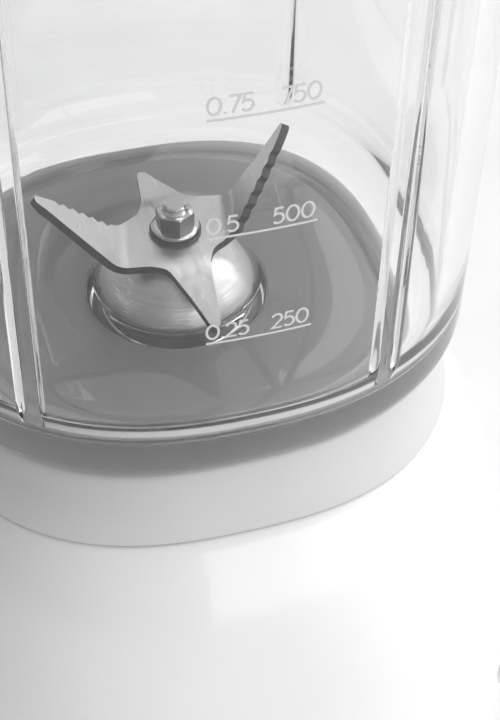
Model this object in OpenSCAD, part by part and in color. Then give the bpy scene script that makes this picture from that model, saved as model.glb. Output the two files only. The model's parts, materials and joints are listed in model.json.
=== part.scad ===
// Countertop blender: a flared rounded-square motor base, a clear jug with a four-armed blade,
// a lid and a filler cap. Millimetres, +Z up. The origin is where the drive axis meets the table.
// The knob and badge face -Y, the graduated side of the jug faces -X and the handle is on +X.

/* [Base] */
// Half the width of the housing where the body is widest
body_half = 81.5; // [80:0.5:83]
// Half the width of the housing at its top edge
shoulder_half = 58.3; // [58:0.1:58.6]
// Height of the housing's top edge
shoulder_z = 177; // [176.5:0.5:177.5]
// Height over which the flare closes by about two thirds
flare_length = 34; // [30:1:38]
// Squareness of the plan outline, where 2 is a circle
squareness = 2.55; // [2.45:0.05:2.7]
// Wall thickness of the housing
wall = 3; // [2.5:0.5:3.5]

/* [Jug] */
// Half the outer width of the jug above its rounded bottom edge
jug_half = 59.8; // [59:0.1:60.5]
// Height of the jug's bottom edge
jug_bottom_z = 194.5; // [194.5:0.5:195.5]
// Height of the jug's open rim
jug_top_z = 371; // [366:1:376]
// Wall thickness of the jug
glass = 4.6; // [4.2:0.1:5]
// Thickness of the jug's floor
floor_thick = 5; // [4.5:0.5:5]
// How far the wall leans outwards from bottom to rim
lean = 3; // [1:0.5:4]
// Depth of the four ribs that run up the inside of the jug
rib_depth = 2.8; // [2:0.2:3.6]
// Angle of each rib from the ribs' own middle line
rib_angle = 35.5; // [34:0.5:38]
// How far the ribs' middle line is turned from the X axis
rib_turn = 6; // [0:1:8]

/* [Blade] */
// Radius of the steel cone under the blade
cone_radius = 17; // [16.6:0.1:17]
// Height of the cone
cone_height = 12; // [11.5:0.5:12]
// Length of the two long arms from the axis
long_arm = 33; // [30:1:35]
// Length of the two short arms from the axis
short_arm = 27; // [24:1:29]
// Thickness of the blade steel
blade_thick = 1.8; // [1.5:0.1:2]
// Radius of the blade spindle
spindle_radius = 4; // [3.8:0.1:4]

/* [Controls] */
// Height of the knob's axis
knob_z = 46; // [44:1:50]
// Radius of the control knob
knob_radius = 22; // [19:1:23]
// Height of the badge's centre
badge_z = 86; // [84:1:92]
// Width of the badge
badge_width = 96; // [80:2:100]
// Height of the badge
badge_height = 14; // [10:1:16]

/* [Motor] */
// Radius of the motor shaft
shaft_radius = 4; // [3.5:0.5:4]
// Width of the square stator stack
stator_width = 76; // [72:1:78]
// Height of the stator stack
stack_height = 34; // [30:1:36]
// Radius of the armature
armature_radius = 22; // [21:0.5:22.5]

/* [Hidden] */
$fn = 48;
SIDES = 48;          // corners of each loft ring on the base and the lid
JUG_SIDES = 96;      // corners of each loft ring on the jug
FIT = 0.05;          // radial clearance of a running fit
GAP = 0.3;           // space between pieces that slide or turn past each other
foot_height = 4;
foot_inset = 58;
plate_z = foot_height + 1;
plate_thick = 3;
plate_half = body_half - 5.9;
screw_reach = 62;
boss_height = 14;
housing_z = 3;
deck_hole = 34;
gasket_thick = 0.6;
collar_z = shoulder_z + gasket_thick;
collar_top_z = jug_bottom_z - 1.2;
socket_z = collar_z + 3;
socket_half = 49.5;
foot_half = socket_half - 0.6;
jug_squareness = squareness - 0.15;
floor_z = jug_bottom_z + floor_thick;
cone_z = floor_z - 1;
blade_z = cone_z + cone_height;
neck_radius = 20;
neck_bore = 17.3;
neck_z = 186;
flange_z = neck_z - 3.4;
magnet_x = 41;
stack_z = 66;
stack_top = stack_z + stack_height;
lower_bracket_z = 50;
lower_bearing_z = 36;
upper_bearing_z = 150;
fan_z = 46;
commutator_z = stack_top + 16;
shaft_z = lower_bearing_z - 4;
coupling_z = socket_z + 0.4;
coupling_height = 8;
pocket_top = coupling_z + coupling_height + 0.4;
hub_top = pocket_top + 3.6;
rim_half = jug_half + lean;
lid_z = jug_top_z;
lid_thick = 9;
lid_plug = 12;
cap_radius = 24;
cap_hole = cap_radius + 1.2;
knob_face = 7.2;
gland_z = 32;
bend_overlap = 0.6;
tap = 0.01;          // overlap that joins pieces of one solid

// ---- shared geometry -------------------------------------------------------------------

// Distance from the axis to a rounded square of half-width half, at angle a
function plan_radius(half, power, a) =
    half / pow(pow(abs(cos(a)), power) + pow(abs(sin(a)), power), 1 / power);

// One horizontal ring of points on a rounded square
function ring(half, z, power = squareness, count = SIDES) = [
    for (i = [0:count - 1])
        let (a = 360 * i / count, r = plan_radius(half, power, a))
            [r * cos(a), r * sin(a), z]
];

// The same ring without its height, for a flat outline
function outline(half, power = squareness, count = SIDES) =
    [for (p = ring(half, 0, power, count)) [p[0], p[1]]];

// Half-width of the flared body at height z
function flare(z) =
    shoulder_half + (body_half - shoulder_half) * (1 - exp((z - shoulder_z) / flare_length));

// Side faces between each ring and the next, clockwise from outside
function side_faces(rows, count, wrap) = [
    for (j = [0:rows - (wrap ? 1 : 2)], i = [0:count - 1])
        let (k = (j + 1) % rows, n = (i + 1) % count)
            each [
                [j * count + i, k * count + i, k * count + n],
                [j * count + i, k * count + n, j * count + n]
            ]
];

// A solid whose section goes up the outside and back down the inside
module band(rings) {
    count = len(rings[0]);
    polyhedron(
        points = [for (loop = rings) each loop],
        faces = side_faces(len(rings), count, true),
        convexity = 8
    );
}

// A solid closed by a flat cap at each end
module stack(rings) {
    count = len(rings[0]);
    rows = len(rings);
    polyhedron(
        points = [for (loop = rings) each loop],
        faces = concat(
            side_faces(rows, count, false),
            [[for (i = [0:count - 1]) i]],
            [[for (i = [0:count - 1]) rows * count - 1 - i]]
        ),
        convexity = 4
    );
}

// A flat rounded-square plate
module plate(half, z, thick, power = squareness) {
    translate([0, 0, z]) linear_extrude(thick) polygon(outline(half, power, 72));
}

// A plain tube on the drive axis
module tube(outer, inner, z, height) {
    translate([0, 0, z]) difference() {
        cylinder(r = outer, h = height);
        translate([0, 0, -1]) cylinder(r = inner, h = height + 2);
    }
}

// Copies at the four corners of a square
module at_corners(reach) {
    for (x = [-reach, reach], y = [-reach, reach]) translate([x, y, 0]) children();
}

// Copies turned about the drive axis
module around(count, start = 0) {
    for (i = [0:count - 1]) rotate([0, 0, start + 360 * i / count]) children();
}

// Lays a piece drawn along +Z out towards -Y at the knob's height
module on_knob_axis() {
    translate([0, 0, knob_z]) rotate([90, 0, 0]) children();
}

// ---- base ------------------------------------------------------------------------------

module base_housing() {
    levels = 12;
    step = (shoulder_z - 10) / levels;
    outer = concat(
        [ring(body_half - 4, housing_z), ring(body_half - 1.2, housing_z + 2.5)],
        [for (i = [0:levels]) let (z = 10 + i * step) ring(flare(z), z)]
    );
    inner = [
        for (i = [levels:-1:0])
            let (z = 10 + i * step * (shoulder_z - 13) / (shoulder_z - 10)) ring(flare(z) - wall, z)
    ];
    deck = [ring(deck_hole, shoulder_z, 2), ring(deck_hole, shoulder_z - wall, 2)];
    color("white") difference() {
        union() {
            band(concat(outer, deck, inner, [ring(body_half - 6.5, housing_z)]));
            around(4) translate([screw_reach, 0, plate_z + plate_thick]) {
                cylinder(r = 5, h = boss_height);
                translate([0, -2, 0]) cube([body_half - wall - screw_reach + 0.6, 4, boss_height]);
            }
        }
        around(4) translate([screw_reach, 0, 0]) cylinder(r = 2.05, h = plate_z + boss_height);
        on_knob_axis() cylinder(r = 8, h = body_half + 5);
        translate([0, 0, gland_z]) rotate([-90, 0, 0]) cylinder(r = 7, h = body_half + 5);
    }
}

module seam_gasket() {
    color("dimgray") difference() {
        plate(shoulder_half - 0.8, shoulder_z, gasket_thick);
        translate([0, 0, shoulder_z - 1]) cylinder(r = deck_hole + 2, h = 4);
    }
}

module top_collar() {
    drop = collar_top_z - collar_z;
    color("whitesmoke") band([
        ring(shoulder_half, collar_z),
        ring(shoulder_half - 0.1, collar_z + drop * 0.15),
        ring(shoulder_half - 1.2, collar_z + drop * 0.4),
        ring(shoulder_half - 2.8, collar_z + drop * 0.7),
        ring(shoulder_half - 4.2, collar_top_z - 0.8),
        ring(shoulder_half - 5, collar_top_z),
        ring(socket_half + 1, collar_top_z),
        ring(socket_half, collar_top_z - 1),
        ring(socket_half, socket_z),
        ring(deck_hole - 6, socket_z, 2),
        ring(deck_hole - 6, collar_z, 2)
    ]);
}

module bottom_plate() {
    slots = 7;
    color("gray") difference() {
        plate(plate_half, plate_z, plate_thick);
        at_corners(foot_inset * 0.82) translate([0, 0, plate_z - 1]) cylinder(r = 3, h = 6);
        around(4) translate([screw_reach, 0, plate_z - 1]) cylinder(r = 2.2, h = 6);
        for (i = [0:slots - 1])
            translate([-24, (i - (slots - 1) / 2) * 8 - 1.5, plate_z - 1]) cube([48, 3, 6]);
    }
}

module bottom_trim() {
    color("silver") difference() {
        plate(body_half - 6.7, housing_z + 0.2, 1.6);
        plate(plate_half - 3, housing_z - 1, 4);
    }
}

module rubber_feet() {
    color("dimgray") at_corners(foot_inset * 0.82) rotate_extrude()
        polygon([
            [0, 0], [8, 0], [9, 1], [9, plate_z], [3, plate_z], [3, plate_z + plate_thick],
            [3.8, plate_z + plate_thick], [3, plate_z + plate_thick + 2], [0, plate_z + plate_thick + 2]
        ]);
}

module plate_screws() {
    color("silver") around(4) translate([screw_reach, 0, 0]) {
        translate([0, 0, plate_z - 1.6]) difference() {
            cylinder(r = 3.8, h = 1.6);
            translate([-3, -0.5, -1]) cube([6, 1, 1.8]);
            translate([-0.5, -3, -1]) cube([1, 6, 1.8]);
        }
        translate([0, 0, plate_z - tap]) cylinder(r = 2, h = 12);
    }
}

module cord_gland() {
    face = flare(gland_z);
    color("gray") translate([0, 0, gland_z]) rotate([-90, 0, 0]) difference() {
        union() {
            translate([0, 0, face]) cylinder(r = 9, h = 1.2);
            translate([0, 0, face - 12]) cylinder(r = 6.9, h = 12 + tap);
            translate([0, 0, face - 12]) cylinder(r = 9, h = 5);
        }
        translate([0, 0, face - 14]) cylinder(r = 3.6, h = 20);
    }
}

module front_badge() {
    face = flare(badge_z - badge_height / 2);
    corner = badge_height / 2;
    color("silver") difference() {
        intersection() {
            plate(face + 2.2, badge_z - badge_height, badge_height * 2);
            translate([0, 0, badge_z]) rotate([90, 0, 0]) union() {
                translate([-badge_width / 2 + corner, -corner, 0])
                    cube([badge_width - 2 * corner, badge_height, 100]);
                for (x = [-1, 1])
                    translate([x * (badge_width / 2 - corner), 0, 0]) cylinder(r = corner, h = 100);
            }
        }
        plate(face + 0.2, badge_z - badge_height - 1, badge_height * 2 + 2);
    }
}

// ---- control knob ----------------------------------------------------------------------

module knob_bezel() {
    color("silver") on_knob_axis() difference() {
        translate([0, 0, body_half - 3]) cylinder(r = knob_radius + 3, h = 5);
        translate([0, 0, body_half - 4]) cylinder(r = 8.2, h = 8);
        translate([0, 0, body_half + 0.4]) cylinder(r = knob_radius + 0.6, h = 8);
        plate_relief();
    }
}

// The part of the bezel's disc that would lie inside the housing wall
module plate_relief() {
    rotate([-90, 0, 0]) translate([0, 0, -knob_z])
        plate(flare(knob_z - knob_radius - 3) + 0.05, knob_z - 40, 80);
}

module rotary_switch() {
    color("dimgray") on_knob_axis() difference() {
        union() {
            translate([-15, -15, body_half - 34]) cube([30, 30, 18]);
            translate([0, 0, body_half - 16 - tap]) cylinder(r = 7.8, h = 16);
        }
        translate([0, 0, body_half - 30]) cylinder(r = 3 + FIT, h = 40);
    }
}

module switch_nut() {
    color("silver") on_knob_axis() difference() {
        translate([0, 0, body_half - 7]) cylinder(r = 11, h = 3.2, $fn = 6);
        translate([0, 0, body_half - 9]) cylinder(r = 7.85, h = 6);
    }
}

module control_knob() {
    color("silver") on_knob_axis() difference() {
        translate([0, 0, body_half + 2.4]) rotate_extrude() polygon([
            [0, -1.4], [knob_radius - 0.4, -1.4], [knob_radius - 0.1, 1.6],
            [knob_radius - 1, 5.6], [knob_radius - 3.2, knob_face], [0, knob_face]
        ]);
        translate([0, 0, body_half]) cylinder(r = 3, h = 7);
    }
}

module knob_lever() {
    base = body_half + 2.4 + knob_face;
    color("silver") on_knob_axis() hull() {
        translate([0, knob_radius - 4.4, base]) cylinder(r = 3.4, h = 5, $fn = 24);
        translate([0, knob_radius - 4.9, base + 13]) sphere(r = 2.6, $fn = 20);
        translate([0, -knob_radius + 6.4, base]) cylinder(r = 5, h = 4, $fn = 24);
        translate([0, -knob_radius + 7.4, base + 9]) sphere(r = 4, $fn = 20);
    }
}

module knob_shaft() {
    color("silver") on_knob_axis() translate([0, 0, body_half - 29]) cylinder(r = 3, h = 36);
}

// ---- motor -----------------------------------------------------------------------------

module motor_cradle() {
    reach = stator_width / 2 + 6;
    color("dimgray") {
        tube(reach + 2, reach - 6, 18, 4);
        around(4, 45) translate([reach - 2, 0, 0]) {
            translate([-2, -6, 8]) cube([8, 12, 10 + tap]);
            translate([0, -4, 22 - tap]) cube([5, 8, 20]);
        }
    }
}

module mount_grommets() {
    color("black") around(4, 45) translate([stator_width / 2 + 6.5, 0, 42]) rotate_extrude()
        polygon([[0, 0], [4, 0], [5, 2], [4, 4], [5, 6], [4, 8], [0, 8]]);
}

module lower_bracket() {
    reach = stator_width / 2 + 6.5;
    post = stator_width / 2 - 6;
    low = lower_bearing_z;
    rim = lower_bracket_z;
    color("silver") difference() {
        union() {
            rotate_extrude() polygon([
                [11, low], [33, low], [33, rim], [36, rim], [36, rim + 3.6], [30, rim + 3.6],
                [30, low + 3], [13, low + 3], [13, low + 8], [11, low + 8]
            ]);
            around(4, 45) translate([34, -4, rim]) cube([reach - 31, 8, 3.6]);
            at_corners(post) translate([0, 0, rim + 1]) cylinder(r = 5, h = stack_z - rim - 1);
        }
        at_corners(post) translate([0, 0, rim - 2]) cylinder(r = 2.3, h = 20);
    }
}

module upper_bracket() {
    post = stator_width / 2 - 6;
    bar = post * sqrt(2) + 4;
    color("silver") difference() {
        union() {
            translate([0, 0, upper_bearing_z]) cylinder(r = 14, h = 9);
            for (a = [0, 45, 135]) rotate([0, 0, a])
                translate([-bar, -4, upper_bearing_z]) cube([2 * bar, 8, 3.6]);
            at_corners(post) translate([0, 0, stack_top]) cylinder(r = 5, h = upper_bearing_z - stack_top + 4);
        }
        translate([0, 0, upper_bearing_z - 1]) cylinder(r = 11, h = 12);
        at_corners(post) translate([0, 0, stack_top - 1]) cylinder(r = 2.3, h = 80);
    }
}

module bracket_screws() {
    post = stator_width / 2 - 6;
    color("gray") at_corners(post) {
        translate([0, 0, lower_bracket_z]) cylinder(r = 2.1, h = upper_bearing_z - lower_bracket_z + 4 + tap);
        translate([0, 0, upper_bearing_z + 4]) cylinder(r = 4.2, h = 3);
    }
}

module stator_core() {
    post = stator_width / 2 - 6;
    half = stator_width / 2;
    color("slategray") translate([0, 0, stack_z]) difference() {
        translate([-half, -half, 0]) cube([stator_width, stator_width, stack_height]);
        translate([0, 0, -1]) cylinder(r = armature_radius + 0.8, h = stack_height + 2);
        for (s = [-1, 1]) translate([-24, s * 25 - 5, -1]) cube([48, 10, stack_height + 2]);
        at_corners(post) translate([0, 0, -1]) cylinder(r = 2.3, h = stack_height + 2);
    }
}

module field_coils() {
    over = 7;
    color("chocolate") for (s = [-1, 1]) translate([0, s * 25, stack_z - over]) difference() {
        translate([-23.5, -4.6, 0]) cube([47, 9.2, stack_height + 2 * over]);
        translate([-18, -6, over - 1]) cube([36, 12, stack_height + 2]);
    }
}

module lower_bearing() {
    color("silver") tube(11, shaft_radius + FIT, lower_bearing_z + 0.5, 7);
}

module upper_bearing() {
    color("silver") tube(11, shaft_radius + FIT, upper_bearing_z + 0.5, 7);
}

module brush_holders() {
    color("goldenrod") for (s = [-1, 1]) translate([s * 26, 0, commutator_z + 4]) difference() {
        union() {
            translate([-9, -6, -2]) cube([18, 12, 14]);
            translate([s * 6 - 2, -5, 12 - tap]) cube([4, 10, upper_bearing_z - commutator_z - 16]);
        }
        translate([-10, -3.1, 1.9]) cube([20, 6.2, 8.2]);
    }
}

module carbon_brushes() {
    color("black") for (s = [-1, 1]) translate([s * (23 + GAP), 0, commutator_z + 6])
        translate([-10, -3, 0]) cube([20, 6, 8]);
}

module fan_shroud() {
    color("dimgray") tube(41, 37, fan_z - 24, 20);
}

module control_board() {
    color("darkgreen") translate([-40, 50, 34]) difference() {
        cube([80, 1.6, 60]);
        for (x = [5, 75], z = [5, 55]) translate([x, -1, z]) rotate([-90, 0, 0]) cylinder(r = 1.7, h = 4);
    }
}

module board_parts() {
    color("dimgray") translate([0, 51.6, 0]) {
        translate([-30, 0, 44]) cube([16, 9, 22]);
        translate([-8, 0, 42]) cube([22, 8, 14]);
        for (i = [0:2]) translate([-6 + 12 * i, 0, 76]) rotate([-90, 0, 0]) cylinder(r = 4.5, h = 9);
        translate([20, 0, 44]) cube([12, 4, 18]);
    }
}

module jug_sensor() {
    color("black") translate([38, -5, shoulder_z - wall - 5]) cube([12, 10, 4.6]);
}

module motor_shaft() {
    color("silver") translate([0, 0, shaft_z]) cylinder(r = shaft_radius, h = coupling_z + 6 - shaft_z);
}

module armature_core() {
    slots = 12;
    color("slategray") translate([0, 0, stack_z]) difference() {
        cylinder(r = armature_radius, h = stack_height);
        translate([0, 0, -1]) cylinder(r = shaft_radius, h = stack_height + 2);
        around(slots) translate([armature_radius - 6, -1.4, -1]) cube([8, 2.8, stack_height + 2]);
    }
}

module armature_windings() {
    color("chocolate") {
        tube(armature_radius - 3, shaft_radius + 1, stack_z - 8, 8);
        tube(armature_radius - 3, shaft_radius + 1, stack_top, 9);
    }
}

module commutator() {
    bars = 24;
    color("peru") difference() {
        tube(13, shaft_radius, commutator_z, 22);
        around(bars) translate([11.6, -0.3, commutator_z - 1]) cube([4, 0.6, 21]);
    }
}

module cooling_fan() {
    blades = 9;
    color("dimgray") {
        tube(10, shaft_radius, fan_z, 9);
        tube(27, 10 - tap, fan_z + 7, 2);
        around(blades) translate([9.5, -0.8, fan_z]) cube([17, 1.6, 7 + tap]);
    }
}

module coupling_star(hub, reach, width, height) {
    cylinder(r = hub, h = height);
    around(6) translate([0, -width / 2, 0]) cube([reach, width, height]);
}

module drive_coupling() {
    color("silver") difference() {
        union() {
            translate([0, 0, coupling_z]) coupling_star(6.5, 9.5, 3, coupling_height);
            translate([0, 0, coupling_z - 2]) cylinder(r = 12, h = 2 + tap);
        }
        translate([0, 0, coupling_z - 3]) cylinder(r = shaft_radius, h = 9);
    }
}

module drip_slinger() {
    color("black") tube(19, shaft_radius, coupling_z - 5, 2.4);
}

// ---- jug and blade unit ----------------------------------------------------------------

// Depth of the rib at angle a, full at the rib's own angle and gone within a few degrees of it
function rib(a, depth) =
    let (from_line = 90 - abs((a + rib_turn) % 180 - 90), off = abs(from_line - rib_angle), width = 6)
        off < width ? depth * (1 + cos(180 * off / width)) / 2 : 0;

// One ring of the jug's wall, with the four ribs on it
function jug_ring(half, z, depth) = [
    for (i = [0:JUG_SIDES - 1])
        let (a = 360 * i / JUG_SIDES, r = plan_radius(half, jug_squareness, a) - rib(a, depth))
            [r * cos(a), r * sin(a), z]
];

// Half-width of the jug's outer wall at height z
function jug_wall(z) = jug_half + lean * (z - jug_bottom_z) / (jug_top_z - jug_bottom_z);

module jug() {
    edge = 10;
    sweep = [for (a = [0:22.5:90]) [edge * (1 - sin(a)), edge * (1 - cos(a))]];
    bottom = [
        for (s = sweep) jug_ring(jug_wall(jug_bottom_z + s[1]) - s[0], jug_bottom_z + s[1], 0)
    ];
    bowl = [for (a = [90:-22.5:0]) [16.5 * (1 - sin(a)), 14 * (1 - cos(a))]];
    inside = [
        for (s = bowl)
            jug_ring(jug_wall(floor_z + s[1]) - glass - s[0], floor_z + s[1], s[1] > 13 ? rib_depth : 0)
    ];
    color("lightcyan", 0.5) band(concat(
        bottom,
        [
            jug_ring(jug_wall(floor_z + 12), floor_z + 12, 0),
            jug_ring(jug_wall(jug_top_z - 12), jug_top_z - 12, 0),
            jug_ring(rim_half, jug_top_z - 4, 0),
            jug_ring(rim_half - 0.6, jug_top_z, 0),
            jug_ring(rim_half - glass + 0.4, jug_top_z, 0),
            jug_ring(rim_half - glass, jug_top_z - 4, 0),
            jug_ring(jug_wall(jug_top_z - 16) - glass, jug_top_z - 16, 0),
            jug_ring(jug_wall(jug_top_z - 30) - glass, jug_top_z - 30, rib_depth)
        ],
        inside,
        [
            ring(neck_bore, floor_z, 2, JUG_SIDES),
            ring(neck_bore, neck_z, 2, JUG_SIDES),
            ring(neck_radius, neck_z, 2, JUG_SIDES),
            ring(neck_radius, jug_bottom_z, 2, JUG_SIDES)
        ]
    ));
}

// Points of the handle's centre line, from its lower root to its upper root
function grip_point(t) =
    let (low = jug_bottom_z + 49, high = jug_top_z - 18, reach = 50)
        [
            jug_half - 1 + reach * pow(sin(180 * t), 0.55),
            0,
            low + (high - low) * (t - 0.09 * sin(360 * t) * (1 - t))
        ];

module jug_handle() {
    steps = 22;
    around_grip = 12;
    rings = [
        for (i = [0:steps])
            let (
                t = i / steps,
                p = grip_point(t),
                q = grip_point(min(1, t + 0.02)) - grip_point(max(0, t - 0.02)),
                tangent = q / norm(q),
                side = [tangent[2], 0, -tangent[0]],
                thick = 5.5 + 3 * pow(abs(cos(180 * t)), 4),
                wide = 10 + 4 * pow(abs(cos(180 * t)), 4)
            )
            [
                for (k = [0:around_grip - 1])
                    let (a = -360 * k / around_grip)
                        p + side * thick * cos(a) + [0, wide * sin(a), 0]
            ]
    ];
    color("lightcyan", 0.5) stack(rings);
}

module jug_foot() {
    color("darkgray") difference() {
        plate(foot_half, socket_z, jug_bottom_z - socket_z);
        translate([0, 0, socket_z - 1]) cylinder(r = neck_radius + 0.2, h = 40);
        difference() {
            plate(foot_half - 3, socket_z - 1, jug_bottom_z - socket_z - 3);
            translate([0, 0, socket_z - 2]) cylinder(r = neck_radius + 12, h = 40);
            translate([magnet_x, 0, socket_z - 2]) cylinder(r = 4, h = 40);
        }
        translate([0, 0, socket_z - 1]) cylinder(r = neck_radius + 9.4, h = neck_z - socket_z + 5);
        translate([magnet_x, 0, socket_z - 1]) cylinder(r = 1.6, h = 7);
    }
}

module blade_lock_ring() {
    lugs = 6;
    outer = neck_radius + 6;
    color("gray") {
        rotate_extrude() polygon([
            [neck_bore + 0.4, socket_z + 0.6], [outer, socket_z + 0.6], [outer, neck_z + 3],
            [neck_radius + 0.1, neck_z + 3], [neck_radius + 0.1, flange_z], [neck_bore + 0.4, flange_z]
        ]);
        around(lugs) translate([outer - 1, -2, socket_z + 0.6]) cube([3.4, 4, 6]);
    }
}

module floor_gasket() {
    color("dimgray") tube(neck_radius - 0.4, neck_bore - 0.4, flange_z + 2, neck_z - flange_z - 2);
}

module cone_housing() {
    color("silver") difference() {
        translate([0, 0, cone_z]) rotate_extrude($fn = 96) polygon([
            [spindle_radius + 2, 0], [cone_radius, 0], [cone_radius, 1],
            [cone_radius - 0.9, 3.4], [cone_radius - 2.6, 6], [cone_radius - 5.2, 8.6],
            [8.4, cone_height - 1.2], [6.6, cone_height - 0.4], [spindle_radius + 2, cone_height - 0.4]
        ]);
        translate([0, 0, cone_z - 1]) cylinder(r1 = 15.4, r2 = 7.2, h = cone_height - 2);
    }
}

module bearing_housing() {
    color("gray") difference() {
        union() {
            translate([0, 0, flange_z]) cylinder(r = neck_radius - 0.3, h = 2);
            translate([0, 0, flange_z]) cylinder(r = neck_bore - 0.4, h = cone_z - flange_z);
            translate([0, 0, cone_z - tap]) cylinder(r = 9.2, h = 6);
        }
        translate([0, 0, flange_z - 1]) cylinder(r = 14, h = pocket_top + 2 - flange_z);
        translate([0, 0, flange_z - 1]) cylinder(r = 8, h = 40);
    }
}

module spindle_bushes() {
    color("goldenrod") {
        tube(8, spindle_radius + FIT, hub_top + 1, 5);
        tube(8, spindle_radius + FIT, cone_z + 1.5, 4.4);
    }
}

module spindle_seal() {
    color("black") tube(7, spindle_radius + FIT, cone_z + 6, 2.2);
}

module sensor_magnet() {
    color("silver") translate([magnet_x, 0, socket_z + 0.4]) cylinder(r = 1.6, h = 5.6);
}

module blade_spindle() {
    top = blade_z + blade_thick;
    color("silver") {
        translate([0, 0, pocket_top + 0.2]) cylinder(r = spindle_radius, h = blade_z - pocket_top - 0.2);
        translate([0, 0, blade_z - tap]) cylinder(r = 3, h = top + 7.6 - blade_z);
    }
}

// Outline of a long arm beyond its bend: straight on one side, saw-toothed on the leading side
function long_outline(reach, root, teeth = 6) =
    let (pitch = (reach - 7) / teeth, slope = (root - 3.4) / reach)
        concat(
            [[-bend_overlap, -root]],
            [
                for (i = [0:teeth - 1])
                    let (x = 2 + i * pitch, edge = root - slope * x)
                        each [[x, -edge], [x + pitch * 0.5, -edge + 1.1]]
            ],
            [[reach - 3, -3.4], [reach, -2.4], [reach - 0.4, -0.8], [-bend_overlap, root]]
        );

// Outline of a short arm beyond its bend, with its tip towards one side
function short_outline(reach, root) = [
    [-bend_overlap, -root], [reach * 0.55, -root * 0.32], [reach - 0.6, 0.3], [reach, 1.4],
    [reach - 1, 2.4], [-bend_overlap, root]
];

// A flat outline bent up by lift degrees about the line where its arm leaves the hub
module blade_arm(place, angle, lift) {
    translate([place[0], place[1], blade_thick / 2]) rotate([0, 0, angle]) rotate([0, -lift, 0])
        translate([0, 0, -blade_thick / 2]) linear_extrude(blade_thick) children();
}

// The flat middle of the blade, the same after half a turn
module blade_hub() {
    side = [[11.4, -4.8], [11.4, 4.8], [7.4, 6.3], [5, 12.4], [-9, 15.2], [-9.8, 7]];
    linear_extrude(blade_thick) difference() {
        polygon(concat(side, [for (p = side) -p]));
        circle(r = 3);
    }
}

module blade() {
    long_root = 6.7;
    short_root = 4.6;
    color("silver") translate([0, 0, blade_z]) {
        blade_hub();
        blade_arm([-2.1, 13.7], 78.7, 38) polygon(long_outline(long_arm - 11, long_root));
        blade_arm([2.1, -13.7], 258.7, 67) polygon(long_outline(long_arm - 5.5, long_root));
        blade_arm([11.3, 0], 0, -16) polygon(short_outline(short_arm - 11, short_root));
        blade_arm([-11.3, 0], 180, -11) polygon(short_outline(short_arm - 10, short_root));
    }
}

module blade_washer() {
    top = blade_z + blade_thick;
    color("silver") tube(5.6, 3, top, 0.8);
}

module blade_nut() {
    top = blade_z + blade_thick + 0.8;
    color("silver") difference() {
        union() {
            translate([0, 0, top]) cylinder(r = 5.2, h = 1.2);
            translate([0, 0, top + 1.2 - tap]) cylinder(r = 4.3, h = 4, $fn = 6);
        }
        translate([0, 0, top - 1]) cylinder(r = 3, h = 10);
    }
}

module driven_coupling() {
    low = coupling_z + 0.6;
    color("dimgray") difference() {
        union() {
            translate([0, 0, low]) cylinder(r = 12.6, h = pocket_top + 1 - low);
            translate([0, 0, pocket_top]) cylinder(r = 6.8, h = hub_top - pocket_top);
        }
        translate([0, 0, low - 1]) coupling_star(7, 10, 3.8, pocket_top - low + 1);
        translate([0, 0, low]) cylinder(r = spindle_radius, h = 20);
    }
}

module retaining_clip() {
    color("silver") difference() {
        tube(6.4, spindle_radius, hub_top, 0.8);
        translate([0, -1.5, hub_top - 1]) cube([8, 3, 3]);
    }
}

// ---- lid -------------------------------------------------------------------------------

// One ring of the lid, with the jug's plan outline
function lid_ring(half, z) = ring(half, z, jug_squareness);

module lid() {
    plug_half = rim_half - glass - 2.4;
    top = lid_z + lid_thick;
    color("whitesmoke") band([
        lid_ring(rim_half - 0.2, lid_z),
        lid_ring(rim_half + 0.6, lid_z + 1.2),
        lid_ring(rim_half + 0.4, lid_z + 4),
        lid_ring(rim_half - 2, lid_z + 6.6),
        lid_ring(rim_half - 8, top - 1),
        lid_ring(rim_half - 20, top),
        ring(cap_hole + 1, top, 2),
        ring(cap_hole, top - 1, 2),
        ring(cap_hole, lid_z - lid_plug, 2),
        ring(cap_hole + 3, lid_z - lid_plug, 2),
        ring(cap_hole + 3, top - 6, 2),
        lid_ring(plug_half - 2.6, lid_z + 1.6),
        lid_ring(plug_half - 2.6, lid_z - lid_plug),
        lid_ring(plug_half, lid_z - lid_plug),
        lid_ring(plug_half, lid_z)
    ]);
}

module lid_seal() {
    plug_half = rim_half - glass - 2.4;
    color("gainsboro") difference() {
        plate(plug_half + 1.2, lid_z - 7, 3, jug_squareness);
        plate(plug_half + 0.05, lid_z - 8, 5, jug_squareness);
    }
}

module filler_cap() {
    top = lid_z + lid_thick;
    color("whitesmoke") rotate_extrude($fn = 72) polygon([
        [cap_radius - 2.4, lid_z - lid_plug + 4], [cap_radius, lid_z - lid_plug + 4],
        [cap_radius, top + GAP], [cap_radius + 6.4, top + GAP], [cap_radius + 7, top + 2],
        [cap_radius + 6, top + 9], [cap_radius + 2, top + 14], [cap_radius - 6, top + 16.4],
        [0, top + 17], [0, top + 14.6], [cap_radius - 8, top + 14],
        [cap_radius - 2.4, top + 8]
    ]);
}

module cap_seal() {
    color("gainsboro") tube(cap_hole - 0.4, cap_radius, lid_z - 1, 3);
}

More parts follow.
